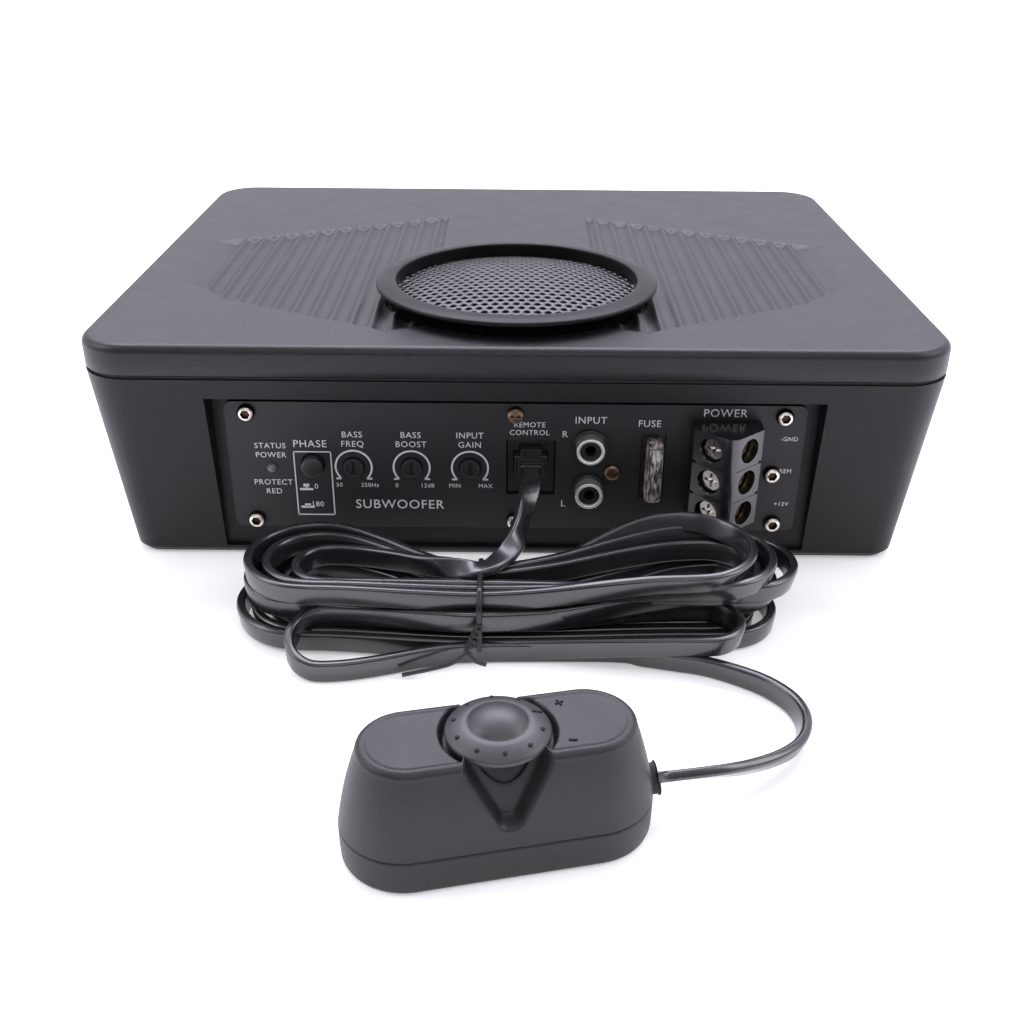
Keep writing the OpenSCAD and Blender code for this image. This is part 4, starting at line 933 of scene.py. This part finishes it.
def make_rca(name, node):
    """The bright outer contact of one input, with a broad rounded lip."""
    low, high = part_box(node)
    x, z = middle_of(node)
    front, back = low.y / MM, high.y / MM
    profile = [(4.15, back), (4.15, front + 0.35)]
    for k in range(1, 5):
        a = math.pi / 2 * k / 4
        profile.append((3.8 + 0.35 * math.cos(a), front + 0.35 - 0.35 * math.sin(a)))
    profile += [(3.45, front + 0.02), (3.25, front + 0.14), (3.15, front + 0.4), (3.1, back)]
    count = 64
    points = []
    for radius, y in profile:
        for k in range(count):
            a = 2 * math.pi * k / count
            points.append((x + radius * math.cos(a), y, z + radius * math.sin(a)))
    faces = rings_to_faces(count, len(profile))
    ring = make_piece(name, points, faces, "nickel")
    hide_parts(node)


# ------------------------------------------------------------ the driver's spider

SPIDER_RIM = 29.5
SPIDER_NECK = 11.3
SPIDER_Z = 41.0
SPIDER_DIP = 3.7
SPIDER_T = 0.6
SPIDER_WAVE = 0.4
SPIDER_PITCH = 3.0


def make_spider():
    """The driver's cloth suspension: a flat rim, then corrugations that dip towards the coil."""
    middle = []
    steps = 72
    for i in range(steps + 1):
        radius = SPIDER_RIM + (SPIDER_NECK - SPIDER_RIM) * i / steps
        dip = SPIDER_DIP * smoothstep(24, 13, radius)
        share = smoothstep(26.5, 24.5, radius) * smoothstep(12.5, 14.5, radius)
        wave = SPIDER_WAVE * share * math.cos(2 * math.pi * radius / SPIDER_PITCH)
        middle.append((radius, SPIDER_Z - dip + wave))
    profile = [(radius, z + SPIDER_T / 2) for radius, z in middle]
    profile += [(radius, z - SPIDER_T / 2) for radius, z in reversed(middle)]
    profile.append(profile[0])
    points, faces = revolve(profile, (*RING_AT, 0), 96)
    disc = make_piece("spider_cloth", points, faces, "cloth")
    weld_points(disc)
    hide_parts("spider")


# ------------------------------------------------------------ the fuse

def make_fuse():
    """The fuse's clear body: a broad foot, a narrower head with a ridge, and ribs down its face."""
    low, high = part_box("fuse_body")
    middle_x, middle_z = middle_of("fuse_body")
    length, thick = (high.z - low.z) / MM, (high.x - low.x) / MM
    back, front = high.y / MM, low.y / MM
    levels = [(back, 0.0, 0.0), (front + 2.6, 0.0, 0.0), (front + 2.2, 0.25, 0.7),
              (front + 0.9, 0.35, 0.9), (front + 0.25, 0.6, 1.2), (front, 1.0, 1.7)]
    count = 72
    points = []
    for y, side_in, end_in in levels:
        for k in range(count):
            a = 2 * math.pi * k / count
            reach_x, reach_z = thick / 2 - side_in, length / 2 - end_in
            x = math.copysign(abs(math.cos(a)) ** 0.35, math.cos(a)) * reach_x
            z = math.copysign(abs(math.sin(a)) ** 0.22, math.sin(a)) * reach_z
            rib = 0.12 * math.sin(7 * a) if side_in else 0
            points.append((middle_x + x * (1 + rib * 0.3), y + rib * 0.3, middle_z + z))
    faces = rings_to_faces(count, len(levels))
    last = (len(levels) - 1) * count
    faces.append(tuple(range(last, last + count)))
    faces.append(tuple(range(count))[::-1])
    body = make_piece("fuse_case", points, faces, "fuse", "fuse")
    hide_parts("fuse_body")


# ------------------------------------------------------------ the remote

REMOTE_L, REMOTE_D = 68.4, 28.8
TOP_L, TOP_D = REMOTE_L - 8.7, REMOTE_D - 7
SPLIT_Z = 9.2
LOBE_Z = 28.8
KNOB_FLOOR = 25.6
WELL_R = 12.2
SHELL_COUNT = 480
SHELL_LEVELS = 46
SHELL_BULGE = 0.9
SHELL_ROUND = 1.6
ROUND_STEPS = 6
TOP_STEPS = 40
LIP_IN = 0.6
DIAL_Z = 27.6
DIAL_COUNT = 128
DIAL_BALL = 9.6
PLUS_ANGLE = math.radians(15)


def stadium_point(t, length, depth):
    """A point of a stadium's outline at t from 0 to 1, from the middle of its front."""
    radius = depth / 2
    straight = length - depth
    around = 2 * straight + 2 * math.pi * radius
    s = (t * around) % around
    if s < straight / 2:
        return s, -radius
    s -= straight / 2
    if s < math.pi * radius:
        a = s / radius - math.pi / 2
        return straight / 2 + radius * math.cos(a), radius * math.sin(a)
    s -= math.pi * radius
    if s < straight:
        return straight / 2 - s, radius
    s -= straight
    if s < math.pi * radius:
        a = s / radius + math.pi / 2
        return -straight / 2 + radius * math.cos(a), radius * math.sin(a)
    return s - math.pi * radius - straight / 2, -radius


def on_remote(x, y, z):
    """A place given along the remote, turned and moved to where the remote lies."""
    c, s = math.cos(REMOTE_TURN), math.sin(REMOTE_TURN)
    return (REMOTE_AT[0] + x * c - y * s, REMOTE_AT[1] + x * s + y * c, z)


def notch_amount(x, z):
    """How far into the V on the front a point is, from 0 outside it to 1 on its floor."""
    tip, top, half, blunt = 14.2, 28.8, 9.0, 2.6
    centre = tip + blunt
    lean = math.atan2(half - blunt, top - centre)
    side = (abs(x) - blunt * math.cos(lean)) * math.cos(lean)
    side -= (z - centre + blunt * math.sin(lean)) * math.sin(lean)
    if z < centre - abs(x) * math.tan(lean) or z < centre - blunt * math.sin(lean):
        side = math.hypot(x, z - centre) - blunt
    return smoothstep(-1.0, 0.9, -side)


def lobe_height(x, y, rim):
    """Height of the remote's top: two lobes with raised edges, and the knob's well between."""
    away = math.hypot(x, y)
    lip = 0.3 * (1 - smoothstep(0.4, 1.2, rim))
    top = LOBE_Z - 0.35 + lip
    return KNOB_FLOOR + (top - KNOB_FLOOR) * smoothstep(WELL_R - 0.5, WELL_R + 0.5, away)


def spine(x):
    """The nearest place to x on the middle line of the shell's top."""
    half = (TOP_L - TOP_D) / 2
    return max(-half, min(half, x))


def shell_sides():
    """Rings from the split to the rounded edge, with the V pressed into the front."""
    points = []
    for j in range(SHELL_LEVELS + 1):
        t = j / SHELL_LEVELS
        bulge = SHELL_BULGE * math.sin(math.pi * t)
        length = REMOTE_L + (TOP_L - REMOTE_L) * t + bulge
        depth = REMOTE_D + (TOP_D - REMOTE_D) * t + bulge
        for k in range(SHELL_COUNT):
            x, y = stadium_point(k / SHELL_COUNT, length, depth)
            z = SPLIT_Z + (lobe_height(x, y, LIP_IN) - SHELL_ROUND - SPLIT_Z) * t
            if y < 0:
                y += (3.0 + 1.6 * t) * notch_amount(x, z) * smoothstep(0.1, 0.3, t)
            points.append((x, y, z))
    return points


def shell_edge(rim):
    """Rings of the rounding between the sides and the top."""
    points = []
    for j in range(1, ROUND_STEPS + 1):
        a = math.pi / 2 * j / ROUND_STEPS
        inward = SHELL_ROUND * (1 - math.cos(a))
        for x, y, z in rim:
            out = Vector((x - spine(x), y))
            out.normalize()
            points.append((x - out[0] * inward, y - out[1] * inward,
                           z + SHELL_ROUND * math.sin(a)))
    return points


def shell_top(edge):
    """Rings that close in over the lobes and the knob's well."""
    points = []
    for j in range(1, TOP_STEPS + 1):
        f = 1 - j / TOP_STEPS
        for x, y, z in edge:
            px, py = spine(x) + (x - spine(x)) * f, y * f
            away = math.hypot(x - px, y - py)
            height = lobe_height(px, py, LIP_IN + away)
            points.append((px, py, z + (height - z) * smoothstep(0, 1.2, away)))
    return points


def make_remote_shell():
    """The remote's upper shell, one skin from the split up and over its top."""
    points = shell_sides()
    points += shell_edge(points[-SHELL_COUNT:])
    points += shell_top(points[-SHELL_COUNT:])
    faces = rings_to_faces(SHELL_COUNT, SHELL_LEVELS + 1 + ROUND_STEPS + TOP_STEPS)
    placed = [on_remote(*p) for p in points]
    shell = make_piece("remote_case", placed, faces, "remote")
    weld_points(shell, 0.03)
    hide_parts("remote_shell")


def make_remote_base():
    """The remote's lower half, from its feet to the groove at the split."""
    count = 160
    profile = [(-6.0, 0.0), (-1.6, 0.0), (-0.9, 0.2), (-0.4, 0.7), (-0.15, 1.4), (0.0, 4.0),
               (0.05, 8.3), (-0.05, 8.7), (-0.35, 8.95), (-2.0, 9.05)]
    points = []
    for grow, z in profile:
        for k in range(count):
            x, y = stadium_point(k / count, REMOTE_L + 2 * grow, REMOTE_D + 2 * grow)
            points.append(on_remote(x, y, z))
    faces = rings_to_faces(count, len(profile))
    faces.append(tuple(range(count))[::-1])
    base = make_piece("remote_tray", points, faces, "remote")
    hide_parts("remote_base")


def make_remote_knob():
    """The remote's knob: a thin rim, a sloping skirt and a ball in its middle."""
    rises = [(7.0, -1.8), (10.6, -0.2), (11.0, 0.0), (11.2, 0.3), (11.2, 0.9), (11.05, 1.2),
             (10.7, 1.5), (9.4, 2.2), (8.0, 2.8), (7.3, 3.0), (6.8, 3.02), (6.4, 3.1), (6.1, 3.35)]
    profile = [(radius, DIAL_Z + rise) for radius, rise in rises]
    wide = math.asin(5.9 / DIAL_BALL)
    ball_z = DIAL_Z + 3.6 - DIAL_BALL * math.cos(wide)
    for k in range(11):
        a = wide * (1 - k / 10.5)
        profile.append((DIAL_BALL * math.sin(a), ball_z + DIAL_BALL * math.cos(a)))
    points, faces = revolve(profile, (*REMOTE_AT, 0), DIAL_COUNT)
    last = (len(profile) - 1) * DIAL_COUNT
    faces.append(tuple(range(last, last + DIAL_COUNT)))
    knob = make_piece("remote_dial", points, faces, "remote_knob", "remote_knob")
    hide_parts("remote_knob")


def make_knob_marks():
    """Nine dots round the knob and the line that shows its setting."""
    parts = []
    dot = [(0.5, DIAL_Z + 1.8), (0.5, DIAL_Z + 2.42), (0.38, DIAL_Z + 2.5)]
    for i in range(1, 10):
        a = REMOTE_TURN + PLUS_ANGLE + math.radians(36 * i)
        at = (REMOTE_AT[0] + 9.3 * math.cos(a), REMOTE_AT[1] + 9.3 * math.sin(a), 0)
        parts.append(revolve(dot, at, 16, True))
    a = REMOTE_TURN + PLUS_ANGLE
    ahead = Vector((math.cos(a), math.sin(a), 0))
    start = Vector((*REMOTE_AT, DIAL_Z + 2.86)) + ahead * 8.0
    stop = Vector((*REMOTE_AT, DIAL_Z + 1.85)) + ahead * 10.3
    parts.append(ring_sweep([tuple(start), tuple(stop)], rounded_section(0.55, 0.4, 0.15, 2),
                            Vector((-ahead.y, ahead.x, 0))))
    points, faces = joined(parts)
    make_piece("remote_dial_marks", points, faces, "dark", "remote_knob")


def make_collar():
    """The soft collar where the cord enters the remote."""
    route = [(30.0, -206.5, 9.5), (31.0, -206.3, 9.5), (31.8, -206.1, 9.5)]
    points, faces = sweep(route, rounded_section(3.6, 7.0, 1.6, 4), [LEAD_OUT[-1][3]] * 3)
    collar = make_piece("cord_collar", points, faces, "rubber")
    soften(collar, 0.4, 3)
    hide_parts("remote_grommet")


def make_remote_signs():
    """Plus and minus marks pressed on the right lobe."""
    parts = []
    z = LOBE_Z - 0.3

    def bar(x, y, long, angle):
        c, s = math.cos(angle) * long / 2, math.sin(angle) * long / 2
        ends = [on_remote(x - c, y - s, z), on_remote(x + c, y + s, z)]
        return ring_sweep(ends, rounded_section(0.5, 0.5, 0.2, 2), Vector((0, 0, 1)))

    parts.append(bar(14.6, 6.2, 1.8, 0.3))
    parts.append(bar(14.6, 6.2, 1.8, 0.3 + math.pi / 2))
    parts.append(bar(14.4, -6.4, 1.8, -0.3))
    points, faces = joined(parts)
    make_piece("remote_signs", points, faces, "dark")


# ------------------------------------------------------------ carried-over nodes

# Each node's material, and the radius of its edges in millimetres
FINISHES = {
    "bottom_case": ("housing", 0.8), "case_gasket": ("rubber", 0), "case_screws": ("steel", 0.15),
    "rubber_feet": ("rubber", 0.15), "driver_gasket": ("rubber", 0.1),
    "driver_basket": ("frame", 0.3), "driver_screws": ("steel", 0.1), "top_plate": ("steel", 0.2),
    "magnet": ("ferrite", 0.4), "back_plate": ("steel", 0.2), "voice_coil": ("copper", 0),
    "cone": ("paper", 0), "dust_cap": ("paper", 0), "surround": ("rubber", 0),
    "speaker_wires": ("wire", 0), "amp_board": ("board", 0.1),
    "board_screws": ("steel", 0.1), "heat_sink": ("aluminium", 0.15),
    "power_transistors": ("epoxy", 0.2), "capacitors": ("sleeve", 0.4),
    "toroid_core": ("yellow", 0.3), "toroid_winding": ("copper", 0),
    "control_panel": ("panel", 0.15), "panel_screws": ("hex_painted_shade", 0.12),
    "jack_screws": ("brown", 0.1), "status_led": ("lens", 0.1), "phase_switch": ("switch", 0.15),
    "phase_button": ("button", 0.5), "frequency_trimmer": ("trimmer", 0.15),
    "boost_trimmer": ("trimmer", 0.15), "gain_trimmer": ("trimmer", 0.15),
    "frequency_shaft": ("knob", 0.25), "boost_shaft": ("knob", 0.25),
    "gain_shaft": ("knob", 0.25), "remote_jack": ("connector", 0.2),
    "rca_body": ("connector", 0.2), "rca_contacts": ("connector", 0.1),
    "fuse_holder": ("connector", 0.2), "fuse_blades": ("steel", 0.1),
    "terminal_block": ("glossy", 0.45), "terminal_screws": ("chrome", 0.12),
    "terminal_clamps": ("brass", 0.15), "remote_pot": ("epoxy", 0.1),
    "remote_screws": ("steel", 0.1), "remote_plug": ("connector", 0.3),
}
SMALLEST_EDGE = 0.02


def finish_nodes():
    """Materials and small round edges for the CAD nodes that are shown as they are."""
    for name, (material, edge) in FINISHES.items():
        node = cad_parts[name]
        node.data.materials.clear()
        node.data.materials.append(MATERIALS[material])
        for attribute in ("custom_normal", "sharp_face", "sharp_edge"):
            if attribute in node.data.attributes:
                node.data.attributes.remove(node.data.attributes[attribute])
        node.data.polygons.foreach_set("use_smooth", [True] * len(node.data.polygons))
        soften(node, edge or SMALLEST_EDGE, 2 if edge else 1)


# ------------------------------------------------------------ the scene

make_camera()
make_world()
MATERIALS = make_materials()
cord, cord_path, cord_length = make_cord()
tie = make_tie()
make_floor()
light_scene()
finish_nodes()
make_cover()
make_grille()
make_ring()
make_print()
make_rca("rca_ring_right", "rca_shell_right")
make_rca("rca_ring_left", "rca_shell_left")
make_spider()
make_fuse()
make_remote_base()
make_remote_shell()
make_remote_knob()
make_knob_marks()
make_remote_signs()
make_collar()
bpy.context.scene.view_settings.view_transform = "Standard"
